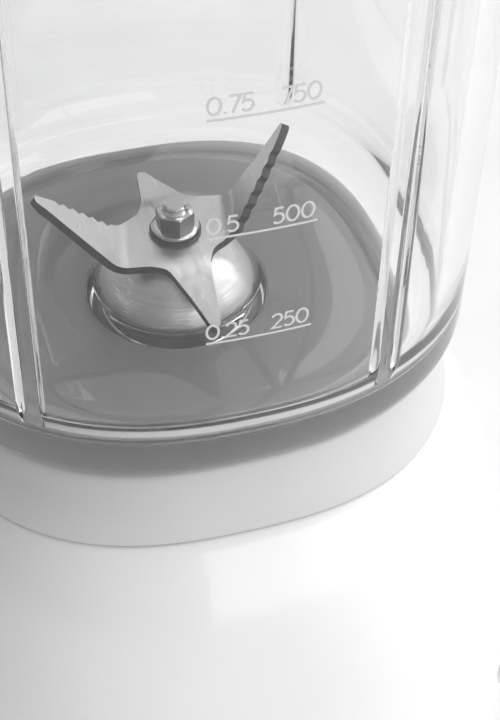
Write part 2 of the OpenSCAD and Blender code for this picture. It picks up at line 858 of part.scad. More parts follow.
base_housing();
seam_gasket();
top_collar();
bottom_plate();
bottom_trim();
rubber_feet();
plate_screws();
cord_gland();
front_badge();
knob_bezel();
rotary_switch();
switch_nut();
motor_cradle();
mount_grommets();
fan_shroud();
lower_bracket();
upper_bracket();
bracket_screws();
stator_core();
field_coils();
lower_bearing();
upper_bearing();
brush_holders();
carbon_brushes();
control_board();
board_parts();
jug_sensor();
motor_shaft();
armature_core();
armature_windings();
commutator();
cooling_fan();
drive_coupling();
drip_slinger();
control_knob();
knob_lever();
knob_shaft();
jug();
jug_handle();
jug_foot();
blade_lock_ring();
floor_gasket();
cone_housing();
bearing_housing();
spindle_bushes();
spindle_seal();
sensor_magnet();
blade_spindle();
blade();
blade_washer();
blade_nut();
driven_coupling();
retaining_clip();
lid();
lid_seal();
filler_cap();
cap_seal();
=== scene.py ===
"""Countertop blender: the visual model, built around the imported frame.

Everything is in metres with +Z up, except where a docstring says millimetres. The drive axis is the Z
axis, the knob and the badge face -Y, the graduated side of the jug faces -X and the handle is on +X.
"""

import json
import logging
import math
from dataclasses import dataclass, field
from enum import Enum
from typing import Callable, Sequence

import bmesh
import bpy
from mathutils import Matrix, Vector


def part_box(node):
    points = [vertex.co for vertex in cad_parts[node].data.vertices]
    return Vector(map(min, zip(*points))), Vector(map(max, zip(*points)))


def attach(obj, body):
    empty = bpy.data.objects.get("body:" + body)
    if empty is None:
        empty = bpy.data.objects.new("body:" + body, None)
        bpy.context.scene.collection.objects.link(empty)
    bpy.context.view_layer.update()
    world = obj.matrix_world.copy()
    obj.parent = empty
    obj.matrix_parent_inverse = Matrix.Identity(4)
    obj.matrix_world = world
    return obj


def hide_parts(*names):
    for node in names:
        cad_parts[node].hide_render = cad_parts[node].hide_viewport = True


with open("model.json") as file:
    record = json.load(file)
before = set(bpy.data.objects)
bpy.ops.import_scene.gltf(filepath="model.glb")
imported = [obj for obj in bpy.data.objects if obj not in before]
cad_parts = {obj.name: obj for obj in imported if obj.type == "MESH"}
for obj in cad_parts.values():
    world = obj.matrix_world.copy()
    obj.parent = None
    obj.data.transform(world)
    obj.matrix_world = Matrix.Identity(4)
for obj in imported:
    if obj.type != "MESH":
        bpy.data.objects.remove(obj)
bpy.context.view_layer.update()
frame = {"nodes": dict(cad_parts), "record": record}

MM = 0.001
LOG = logging.getLogger("blender_build")

Flat = tuple[float, float]
Triple = tuple[float, float, float]
Ring = list[Vector]
Place = Callable[[float, float, float], Vector]
Node = bpy.types.Node
Socket = bpy.types.NodeSocket
Object = bpy.types.Object


class Ends(Enum):
    """How a loft is closed along its length."""

    WRAPPED = "the last ring joins the first"
    CAPPED = "each end ring is filled"


class Pattern(Enum):
    """The direction that the fine lines of a worked surface run in."""

    ROUND_Z = (0.0, 0.0, 1.0)
    ROUND_Y = (0.0, 1.0, 0.0)


# ---- shader graph ----------------------------------------------------------------------


class Graph:
    """Adds and joins the nodes of one shader tree."""

    def __init__(self, tree: bpy.types.NodeTree) -> None:
        """Keeps the tree that the nodes go into."""
        self.tree = tree

    def add(self, kind: str, settings: dict | None = None, **inputs: object) -> Node:
        """Adds a node.

        Args:
            kind: The node's type name without its ShaderNode prefix.
            settings: Attributes of the node, such as its operation.
            **inputs: Input sockets by name or i0, i1 for their places, each a value or a socket.

        Returns:
            The new node.
        """
        node = self.tree.nodes.new("ShaderNode" + kind)
        for key, value in (settings or {}).items():
            setattr(node, key, value)
        for key, value in inputs.items():
            place = int(key[1:]) if key[1:].isdigit() else key.replace("_", " ")
            self.feed(node.inputs[place], value)
        return node

    def feed(self, socket: Socket, value: object) -> None:
        """Sets an input to a value, or joins it to another node's output.

        Args:
            socket: The input.
            value: The value, or the output that it is joined to.
        """
        if isinstance(value, Socket):
            self.tree.links.new(value, socket)
        else:
            socket.default_value = value

    def maths(self, operation: str, first: object, second: object = 0.0) -> Socket:
        """Returns the result of an operation on one or two numbers."""
        return self.add("Math", {"operation": operation}, i0=first, i1=second).outputs[0]

    def vector(self, operation: str, first: object, second: object = (0, 0, 0)) -> Node:
        """Returns the node of an operation on vectors, whose output depends on the operation."""
        return self.add("VectorMath", {"operation": operation}, i0=first, i1=second)

    def remap(self, value: object, low: float, high: float,
              to_low: float = 0.0, to_high: float = 1.0) -> Socket:
        """Returns a value moved from one range to another and clamped there."""
        return self.add("MapRange", None, i0=value, i1=low, i2=high, i3=to_low, i4=to_high).outputs[0]

    def blend(self, share: object, first: object, second: object) -> Socket:
        """Returns a colour between two colours."""
        return self.add("Mix", {"data_type": "RGBA"}, i0=share, i6=first, i7=second).outputs[2]

    def place(self) -> Socket:
        """Returns the surface's place in its object's own frame."""
        return self.add("TexCoord").outputs["Object"]

    def noise(self, place: Socket, scale: object, detail: float) -> Socket:
        """Returns noise at a place."""
        return self.add("TexNoise", None, Vector=place, Scale=scale, Detail=detail).outputs[0]

    def group(self, name: str, **inputs: object) -> Node:
        """Adds one of the shared effects.

        Args:
            name: The node group's name.
            **inputs: Its input sockets by name.

        Returns:
            The group node, whose outputs go by name.
        """
        node = self.tree.nodes.new("ShaderNodeGroup")
        node.node_tree = bpy.data.node_groups[name]
        for key, value in inputs.items():
            self.feed(node.inputs[key.replace("_", " ")], value)
        return node


class Effects:
    """The shared surface effects, each a node group that is built once."""

    @staticmethod
    def start(name: str, inputs: dict[str, object], outputs: Sequence[str]) -> tuple[Graph, Node, Node]:
        """Starts a node group.

        Args:
            name: The group's name.
            inputs: Input names with their default values, a number or a vector.
            outputs: Names of the number outputs.

        Returns:
            The group's graph, its input node and its output node.
        """
        tree = bpy.data.node_groups.new(name, "ShaderNodeTree")
        for key, value in inputs.items():
            kind = "NodeSocketFloat" if isinstance(value, float) else "NodeSocketVector"
            socket = tree.interface.new_socket(key, in_out="INPUT", socket_type=kind)
            socket.default_value = value
        for key in outputs:
            tree.interface.new_socket(key, in_out="OUTPUT", socket_type="NodeSocketFloat")
        return Graph(tree), tree.nodes.new("NodeGroupInput"), tree.nodes.new("NodeGroupOutput")

    @classmethod
    def grain(cls) -> None:
        """Builds the fine moulded grain with a slow unevenness over it."""
        graph, given, out = cls.start("Grain", {"Scale": 900.0, "Slow scale": 18.0}, ("Height", "Mottle"))
        place = graph.place()
        graph.feed(out.inputs["Height"], graph.noise(place, given.outputs["Scale"], 3.0))
        slow = graph.noise(place, given.outputs["Slow scale"], 2.0)
        graph.feed(out.inputs["Mottle"], graph.remap(slow, 0.3, 0.7))

    @classmethod
    def lines(cls) -> None:
        """Builds straight brushing: noise drawn out along one direction."""
        inputs = {"Stretch": (60.0, 2600.0, 2600.0)}
        graph, given, out = cls.start("Straight brushing", inputs, ("Height", "Tone"))
        drawn = graph.vector("MULTIPLY", graph.place(), given.outputs["Stretch"]).outputs[0]
        fine, broad = graph.noise(drawn, 1.0, 4.0), graph.noise(drawn, 0.17, 2.0)
        graph.feed(out.inputs["Height"], fine)
        graph.feed(out.inputs["Tone"], graph.maths("MULTIPLY", fine, broad))

    @classmethod
    def turning(cls) -> None:
        """Builds turned brushing: rings of noise round an axis."""
        inputs = {"Axis": (0.0, 0.0, 1.0), "Centre": (0.0, 0.0, 0.0), "Scale": 2200.0}
        graph, given, out = cls.start("Turned brushing", inputs, ("Height", "Tone", "Pitch"))
        place = graph.place()
        arm = graph.vector("SUBTRACT", place, given.outputs["Centre"]).outputs[0]
        along = graph.vector("DOT_PRODUCT", arm, given.outputs["Axis"]).outputs["Value"]
        foot = graph.add("VectorMath", {"operation": "SCALE"}, i0=given.outputs["Axis"], Scale=along)
        radial = graph.vector("LENGTH", graph.vector("SUBTRACT", arm, foot.outputs[0]).outputs[0])
        spot = graph.add("CombineXYZ", None, X=radial.outputs["Value"], Y=along).outputs[0]
        fine, soft = graph.noise(spot, given.outputs["Scale"], 3.0), graph.noise(place, 120.0, 2.0)
        graph.feed(out.inputs["Height"], fine)
        graph.feed(out.inputs["Tone"], graph.maths("MULTIPLY", fine, soft))
        graph.feed(out.inputs["Pitch"], along)

    @classmethod
    def wear(cls) -> None:
        """Builds edge wear: where the surface turns sharply, broken up by noise."""
        graph, given, out = cls.start("Edge wear", {"Width": 0.0006, "Amount": 0.5}, ("Mask",))
        soft = graph.add("Bevel", {"samples": 4}, Radius=given.outputs["Width"]).outputs[0]
        sharp = graph.add("NewGeometry").outputs["Normal"]
        edge = graph.remap(graph.vector("DOT_PRODUCT", soft, sharp).outputs["Value"], 0.995, 0.8)
        rubbed = graph.remap(graph.noise(graph.place(), 420.0, 2.0), 0.35, 0.65, 0.2)
        broken = graph.maths("MULTIPLY", edge, rubbed)
        graph.feed(out.inputs["Mask"], graph.maths("MULTIPLY", broken, given.outputs["Amount"]))

    @classmethod
    def dust(cls) -> None:
        """Builds fine dust that settles on faces which look up."""
        graph, given, out = cls.start("Dust", {"Amount": 0.1, "Scale": 60.0}, ("Mask",))
        normal = graph.add("NewGeometry").outputs["Normal"]
        up = graph.remap(graph.add("SeparateXYZ", None, i0=normal).outputs["Z"], 0.2, 1.0)
        drift = graph.remap(graph.noise(graph.place(), given.outputs["Scale"], 5.0), 0.35, 0.75)
        spread_out = graph.maths("MULTIPLY", up, drift)
        graph.feed(out.inputs["Mask"], graph.maths("MULTIPLY", spread_out, given.outputs["Amount"]))

    @classmethod
    def build_all(cls) -> None:
        """Builds every shared effect."""
        for make in (cls.grain, cls.lines, cls.turning, cls.wear, cls.dust):
            make()


# ---- finishes --------------------------------------------------------------------------


@dataclass(frozen=True)
class Finish:
    """A moulded surface, and the base of every other finish.

    Grain depth is the height of the fine grain in metres. Mottle is how far the roughness wanders, wear
    how much lighter the edges are, and dust how much of it lies on top.
    """

    name: str
    colour: Triple
    roughness: float = 0.4
    metallic: float = 0.0
    coat: float = 0.0
    grain: float = 0.00001
    grain_scale: float = 900.0
    mottle: float = 0.08
    wear: float = 0.0
    dust: float = 0.0

    def material(self) -> bpy.types.Material:
        """Returns this finish's material, which is built the first time that it is asked for."""
        made = bpy.data.materials.get("finish_" + self.name)
        if made is None:
            made = bpy.data.materials.new("finish_" + self.name)
            made.use_nodes = True
            made.node_tree.nodes.clear()
            graph = Graph(made.node_tree)
            shader = graph.add("BsdfPrincipled", None, Metallic=self.metallic, Coat_Weight=self.coat)
            shader.inputs["Coat Roughness"].default_value = 0.04
            output = graph.add("OutputMaterial")
            graph.feed(output.inputs["Surface"], shader.outputs[0])
            self.dress(graph, shader)
        return made

    def relief(self, graph: Graph) -> tuple[Socket, Socket]:
        """Returns the surface's tone, from 0 to 1, and its height."""
        grain = graph.group("Grain", Scale=self.grain_scale)
        return grain.outputs["Mottle"], grain.outputs["Height"]

    def dress(self, graph: Graph, shader: Node) -> None:
        """Feeds the shader with the surface's relief, unevenness, wear and dust.

        Args:
            graph: The material's graph.
            shader: Its Principled node.
        """
        tone, height = self.relief(graph)
        self.paint(graph, shader, tone)
        self.bump(graph, shader, height)

    def paint(self, graph: Graph, shader: Node, tone: Socket) -> None:
        """Sets the colour and the roughness over the surface.

        Args:
            graph: The material's graph.
            shader: Its Principled node.
            tone: A value from 0 to 1 that varies the surface.
        """
        dark = tuple(0.94 * part for part in self.colour) + (1.0,)
        colour = graph.blend(tone, dark, self.colour + (1.0,))
        if self.wear:
            mask = graph.group("Edge wear", Amount=self.wear).outputs["Mask"]
            pale = tuple(0.5 + 0.5 * part for part in self.colour) + (1.0,)
            colour = graph.blend(mask, colour, pale)
        if self.dust:
            mask = graph.group("Dust", Amount=self.dust).outputs["Mask"]
            colour = graph.blend(mask, colour, DUST_COLOUR)
        graph.feed(shader.inputs["Base Color"], colour)
        low, high = self.roughness * (1 - self.mottle), self.roughness * (1 + self.mottle)
        graph.feed(shader.inputs["Roughness"], graph.remap(tone, 0.0, 1.0, low, high))

    def bump(self, graph: Graph, shader: Node, height: Socket) -> None:
        """Feeds the shader's normal from a height of the grain's depth."""
        node = graph.add("Bump", None, Height=height, Distance=self.grain, Strength=1.0)
        graph.feed(shader.inputs["Normal"], node.outputs[0])


@dataclass(frozen=True)
class Brushed(Finish):
    """Metal brushed in straight lines. Stretch is how tight the lines are along each axis."""

    stretch: Triple = (60.0, 2600.0, 2600.0)

    def relief(self, graph: Graph) -> tuple[Socket, Socket]:
        """Returns the tone and the height of straight brushing."""
        lines = graph.group("Straight brushing", Stretch=self.stretch)
        return graph.remap(lines.outputs["Tone"], *TONE_RANGE), lines.outputs["Height"]


@dataclass(frozen=True)
class Turned(Finish):
    """Metal or plastic worked on a lathe, with its lines round an axis.

    Stretch gloss is how far its highlights are drawn out across the lines.
    """

    pattern: Pattern = Pattern.ROUND_Z
    centre: Triple = (0.0, 0.0, 0.0)
    stretch_gloss: float = 0.0

    def relief(self, graph: Graph) -> tuple[Socket, Socket]:
        """Returns the tone and the height of turned brushing."""
        rings = graph.group("Turned brushing", Axis=self.pattern.value, Centre=self.centre)
        return graph.remap(rings.outputs["Tone"], *TONE_RANGE), rings.outputs["Height"]

    def dress(self, graph: Graph, shader: Node) -> None:
        """Feeds the shader with rings of brushing, and draws its highlights out across them.

        Args:
            graph: The material's graph.
            shader: Its Principled node.
        """
        super().dress(graph, shader)
        if self.stretch_gloss:
            shader.inputs["Anisotropic"].default_value = self.stretch_gloss
            shader.inputs["Anisotropic Rotation"].default_value = 0.25
            tangent = graph.add("Tangent", {"direction_type": "RADIAL", "axis": self.pattern.name[-1]})
            graph.feed(shader.inputs["Tangent"], tangent.outputs[0])


@dataclass(frozen=True)
class Banded(Finish):
    """Stacked sheets or wound wire: narrow bands up the Z axis. Pitch is the height of a band."""

    pitch: float = 0.0005

    def relief(self, graph: Graph) -> tuple[Socket, Socket]:
        """Builds bands that stand proud of the lines between them.

        Args:
            graph: The material's graph.

        Returns:
            The bands' tone and height, which are the same.
        """
        along = graph.group("Turned brushing").outputs["Pitch"]
        turns = graph.maths("MULTIPLY", along, 2 * math.pi / self.pitch)
        height = graph.remap(graph.maths("SINE", turns), -1.0, 1.0)
        return height, height


@dataclass(frozen=True)
class Clear(Finish):
    """Clear polished plastic. IOR is its refractive index."""

    ior: float = 1.5

    def dress(self, graph: Graph, shader: Node) -> None:
        """Makes the shader clear, with the faintest unevenness of a moulding.

        Args:
            graph: The material's graph.
            shader: Its Principled node.
        """
        shader.inputs["Transmission Weight"].default_value = 1.0
        shader.inputs["IOR"].default_value = self.ior
        tone, height = self.relief(graph)
        tint = tuple(0.985 * part for part in self.colour) + (1.0,)
        graph.feed(shader.inputs["Base Color"], graph.blend(tone, tint, self.colour + (1.0,)))
        graph.feed(shader.inputs["Roughness"], graph.remap(tone, 0.0, 1.0, 0.0, self.roughness))
        self.bump(graph, shader, height)


DUST_COLOUR = (0.72, 0.71, 0.69, 1.0)
TONE_RANGE = (0.1, 0.4)
KNOB_CENTRE = (0.0, 0.0, 0.046)
GLOSS_WHITE = Finish("gloss_white", (0.9, 0.9, 0.895), 0.16, coat=0.6, grain=4e-6, grain_scale=140.0)
SATIN_WHITE = Finish("satin_white", (0.66, 0.66, 0.656), 0.38, grain=6e-6, grain_scale=500.0, dust=0.05)
FOOT_GREY = Finish("foot_grey", (0.62, 0.62, 0.625), 0.45, wear=0.3)
# Dark grey for the recessed ring in the seam between body and collar: painted shade, darkening the gap as its
# shadow does.
SEAM_PAINTED_SHADE = Finish("seam_grey", (0.15, 0.15, 0.155), 0.6)
RUBBER = Finish("rubber", (0.03, 0.03, 0.031), 0.75, grain=3e-5, grain_scale=600.0, dust=0.25)
SILICONE = Finish("silicone", (0.66, 0.66, 0.65), 0.5)
BLACK_PLASTIC = Finish("black_plastic", (0.035, 0.035, 0.037), 0.5, grain=2e-5, wear=0.15, dust=0.1)
CHROME = Finish("chrome", (0.8, 0.8, 0.81), 0.06, 1.0, grain=6e-7, grain_scale=60.0, mottle=0.3)
KNOB_CHROME = Turned("knob_chrome", (0.78, 0.78, 0.79), 0.12, 1.0, grain=4e-6,
                     pattern=Pattern.ROUND_Y, centre=KNOB_CENTRE, stretch_gloss=0.5)
ZINC = Turned("zinc", (0.56, 0.57, 0.58), 0.3, 1.0, grain=8e-6, wear=0.4)
CAST_ALLOY = Finish("cast_alloy", (0.55, 0.55, 0.56), 0.5, 1.0, grain=4e-5, grain_scale=1300.0, wear=0.5)
LAMINATION = Banded("lamination", (0.24, 0.25, 0.27), 0.45, 1.0, grain=8e-5, pitch=0.0007)
WINDING = Banded("winding", (0.58, 0.2, 0.07), 0.28, 1.0, grain=2e-4, pitch=0.0008)
BRONZE = Turned("bronze", (0.58, 0.4, 0.16), 0.35, 1.0, grain=8e-6)
CARBON = Finish("carbon", (0.02, 0.02, 0.021), 0.7, grain=3e-5, grain_scale=1800.0)
BOARD_GREEN = Finish("board_green", (0.01, 0.1, 0.035), 0.3, coat=0.3, wear=0.4)
BOARD_BLACK = Finish("board_black", (0.02, 0.02, 0.022), 0.4, wear=0.2)
CLEAR_JUG = Clear("clear_jug", (0.975, 0.978, 0.978), 0.004, grain=1e-6, grain_scale=40.0)
BLADE_STEEL = Brushed("blade_steel", (0.58, 0.58, 0.585), 0.34, 1.0, grain=7e-6, mottle=0.3,
                      stretch=(120.0, 6000.0, 6000.0))
# Near-black steel for the blade's edge faces: painted shade, standing in for the shadow that the edges lie
# in.
BLADE_EDGE_SHADE = Finish("sheared_steel", (0.07, 0.07, 0.073), 0.5, 1.0, grain=4e-5, grain_scale=1500.0)
NUT_FLATS = Finish("nut_flats", (0.2, 0.2, 0.205), 0.3, 1.0)
WASHER_STEEL = Turned("washer_steel", (0.09, 0.09, 0.095), 0.4, 1.0)
CONE_STEEL = Turned("cone_steel", (0.72, 0.72, 0.725), 0.34, 1.0, mottle=0.5, stretch_gloss=0.9)
NUT_STEEL = Turned("nut_steel", (0.55, 0.55, 0.56), 0.16, 1.0, grain=4e-6, wear=0.5)
PRINT = Finish("frosted_print", (0.66, 0.66, 0.66), 0.7, grain=8e-6, grain_scale=2500.0)
PALE_FLOOR = Finish("pale_floor", (0.85, 0.85, 0.85), 0.6, grain=2e-5, grain_scale=300.0)

SLOT_FINISH = {
    # The seam ring's dark grey is painted shade of the gap.
    "gloss_white": GLOSS_WHITE, "satin_white": SATIN_WHITE, "dark_gasket": SEAM_PAINTED_SHADE,
    "clear_seal": SILICONE, "foot_rubber": RUBBER, "dark_plastic": BLACK_PLASTIC,
    "chrome_trim": CHROME, "zinc_steel": ZINC, "cast_alloy": CAST_ALLOY,
    "lamination_steel": LAMINATION, "winding_copper": WINDING, "bush_bronze": BRONZE,
    "carbon": CARBON, "board_green": BOARD_GREEN, "board_black": BOARD_BLACK,
    "clear_jug": CLEAR_JUG, "grey_foot": FOOT_GREY, "brushed_blade": NUT_STEEL,
}
NODE_FINISH = {"blade_washer": WASHER_STEEL}


# ---- mesh work -------------------------------------------------------------------------


def spread(start: float, end: float, count: int) -> list[float]:
    """Returns evenly spaced values, both ends included."""
    return [start + (end - start) * step / (count - 1) for step in range(count)]


def full_turn(count: int) -> list[float]:
    """Returns the angles of evenly spaced points round a circle."""
    return [2 * math.pi * step / count for step in range(count)]


def plan_radius(half: float, power: float, angle: float) -> float:
    """Returns the distance from the axis to a rounded square, whose power is 2 for a circle."""
    total = abs(math.cos(angle)) ** power + abs(math.sin(angle)) ** power
    return half / total ** (1 / power)


def face_depth(half: float, power: float, across: float) -> float:
    """Returns how far the face of a rounded square is from the axis, at that distance across it."""
    return half * (1 - (abs(across) / half) ** power) ** (1 / power)


def fluted(radius: float, depth: float, flutes: int, angle: float) -> float:
    """Returns the radius at an angle of a circle that has flutes of that depth round it."""
    return radius - depth * (0.5 - 0.5 * math.cos(flutes * angle))


def polar_ring(reach: Callable[[float], float], height: float, angles: Sequence[float]) -> Ring:
    """Returns a level ring of points, whose distance from the axis goes by their angle."""
    return [Vector((r * math.cos(a), r * math.sin(a), height)) for a, r in ((a, reach(a)) for a in angles)]


def plan_ring(half: float, height: float, power: float, angles: Sequence[float]) -> Ring:
    """Returns a level ring of points on a rounded square."""
    return polar_ring(lambda angle: plan_radius(half, power, angle), height, angles)


def middle_z(node: str) -> float:
    """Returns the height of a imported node's middle."""
    low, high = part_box(node)
    return (low.z + high.z) / 2


@dataclass(frozen=True)
class Span:
    """A radius and two heights that the points of a profile are measured from."""

    radius: float
    low: float
    high: float

    def at(self, *rows: Sequence[float]) -> list[tuple[float, ...]]:
        """Returns the points of a profile.

        Args:
            *rows: Each point as millimetres out from the radius, its share of the way up, millimetres up
                from there, and anything that is passed on.

        Returns:
            Each point as radius, height and what was passed on.
        """
        tall = self.high - self.low
        return [(self.radius + out * MM, self.low + share * tall + up * MM, *rest)
                for out, share, up, *rest in rows]


def smooth_line(corners: Sequence[Flat], steps: int) -> list[Flat]:
    """Draws a smooth curve through corner points.

    Args:
        corners: The points that the curve passes through.
        steps: How many pieces each stretch between two of them takes.

    Returns:
        The points of the curve, from the first corner to the last.
    """
    ends = [corners[0], *corners, corners[-1]]
    line: list[Flat] = []
    for a, b, c, d in zip(ends, ends[1:], ends[2:], ends[3:]):
        for step in range(steps):
            t = step / steps
            line.append(tuple(
                0.5 * (2 * q + (r - p) * t + (2 * p - 5 * q + 4 * r - s) * t * t
                       + (3 * q - p - 3 * r + s) * t ** 3)
                for p, q, r, s in zip(a, b, c, d)
            ))
    return [*line, corners[-1]]


def rounded(corners: Sequence[Triple], steps: int = 5) -> list[Flat]:
    """Rounds the corners of a closed outline.

    Args:
        corners: Each corner as x, y and the radius that it is cut back by.
        steps: Points on each rounded corner.

    Returns:
        The outline's points.
    """
    line: list[Flat] = []
    count = len(corners)
    for index, (x, y, radius) in enumerate(corners):
        here = Vector((x, y))
        if radius == 0:
            line.append((x, y))
            continue
        back = Vector(corners[index - 1][:2]) - here
        ahead = Vector(corners[(index + 1) % count][:2]) - here
        cut = min(radius, 0.45 * back.length, 0.45 * ahead.length)
        start, end = here + back.normalized() * cut, here + ahead.normalized() * cut
        for t in spread(0.0, 1.0, steps):
            line.append(tuple(start * (1 - t) ** 2 + here * 2 * t * (1 - t) + end * t * t))
    return line


@dataclass
class Piece:
    """One visible piece of the object: its name, where it rides and what it is finished in."""

    name: str
    body: str
    finish: Finish
    slot: str
    replaces: tuple[str, ...] = ()
    crease: float = 32.0

    def from_points(self, points: Sequence[Vector], faces: Sequence[Sequence[int]]) -> Object:
        """Builds the piece from points and faces.

        Args:
            points: The mesh's points, in metres.
            faces: The faces as lists of point numbers.

        Returns:
            The dressed piece.
        """
        mesh = bpy.data.meshes.new(self.name)
        mesh.from_pydata([tuple(point) for point in points], [], [list(face) for face in faces])
        solid = bmesh.new()
        solid.from_mesh(mesh)
        bmesh.ops.remove_doubles(solid, verts=solid.verts, dist=1e-6)
        bmesh.ops.recalc_face_normals(solid, faces=solid.faces)
        solid.to_mesh(mesh)
        solid.free()
        piece = bpy.data.objects.new(self.name, mesh)
        bpy.context.scene.collection.objects.link(piece)
        return self.settle(piece)

    def settle(self, piece: Object) -> Object:
        """Shades, finishes and places a mesh that is built already.

        Args:
            piece: The object.

        Returns:
            The same object, riding on its body.
        """
        piece.data.shade_smooth()
        piece.data.set_sharp_from_angle(angle=math.radians(self.crease))
        piece.data.materials.clear()
        piece.data.materials.append(self.finish.material())
        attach(piece, self.body)
        if self.replaces:
            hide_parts(*self.replaces)
        LOG.info("%s: %d faces, on %s", self.name, len(piece.data.polygons), self.body)
        return piece

    def loft(self, rings: Sequence[Ring], ends: Ends = Ends.WRAPPED) -> Object:
        """Builds the piece as a skin over a run of rings.

        Args:
            rings: Rings with the same number of points each.
            ends: How the run is closed.

        Returns:
            The dressed piece.
        """
        count, rows = len(rings[0]), len(rings)
        last = rows if ends is Ends.WRAPPED else rows - 1
        faces = [
            (j * count + i, j * count + (i + 1) % count,
             (j + 1) % rows * count + (i + 1) % count, (j + 1) % rows * count + i)
            for j in range(last) for i in range(count)
        ]
        points = [point for ring in rings for point in ring]
        if ends is Ends.CAPPED:
            for row in (0, rows - 1):
                points.append(sum(rings[row], Vector()) / count)
                hub = len(points) - 1
                faces += [(row * count + i, row * count + (i + 1) % count, hub) for i in range(count)]
        return self.from_points(points, faces)

    def lathe(self, profile: Sequence[Flat], count: int, ends: Ends = Ends.WRAPPED) -> Object:
        """Builds the piece by turning a profile round the Z axis.

        Args:
            profile: Points as radius and height.
            count: Points round the circle.
            ends: Wrapped for a ring that has a hole through it, capped for a solid one.

        Returns:
            The dressed piece.
        """
        turn = full_turn(count)
        return self.loft([plan_ring(radius, height, 2.0, turn) for radius, height in profile], ends)


def bore(piece: Object, radius: float, start: Vector, end: Vector) -> None:
    """Cuts a round hole through a mesh.

    Args:
        piece: The object that is cut.
        radius: The hole's radius.
        start: The middle of the hole's one end.
        end: The middle of its other end.
    """
    way = end - start
    turn = way.to_track_quat("Z", "Y").to_matrix().to_4x4()
    drill = bpy.data.meshes.new("drill")
    solid = bmesh.new()
    bmesh.ops.create_cone(solid, cap_ends=True, segments=64, radius1=radius, radius2=radius, depth=way.length,
                          matrix=Matrix.Translation((start + end) / 2) @ turn)
    solid.to_mesh(drill)
    solid.free()
    cut(piece, bpy.data.objects.new("drill", drill), "DIFFERENCE")


def cut(piece: Object, tool: Object, operation: str) -> None:
    """Joins or cuts one mesh with another, and removes the tool.

    Args:
        piece: The object that keeps the result.
        tool: The other object.
        operation: UNION or DIFFERENCE.
    """
    if tool.name not in bpy.context.scene.collection.objects:
        bpy.context.scene.collection.objects.link(tool)
    step = piece.modifiers.new("cut", "BOOLEAN")
    step.operation, step.object, step.solver = operation, tool, "EXACT"
    bake(piece)
    bpy.data.objects.remove(tool)


def bake(piece: Object) -> None:
    """Applies every modifier of a piece to its mesh."""
    graph = bpy.context.evaluated_depsgraph_get()
    made = bpy.data.meshes.new_from_object(piece.evaluated_get(graph))
    piece.modifiers.clear()
    piece.data = made


# ---- motor base ------------------------------------------------------------------------


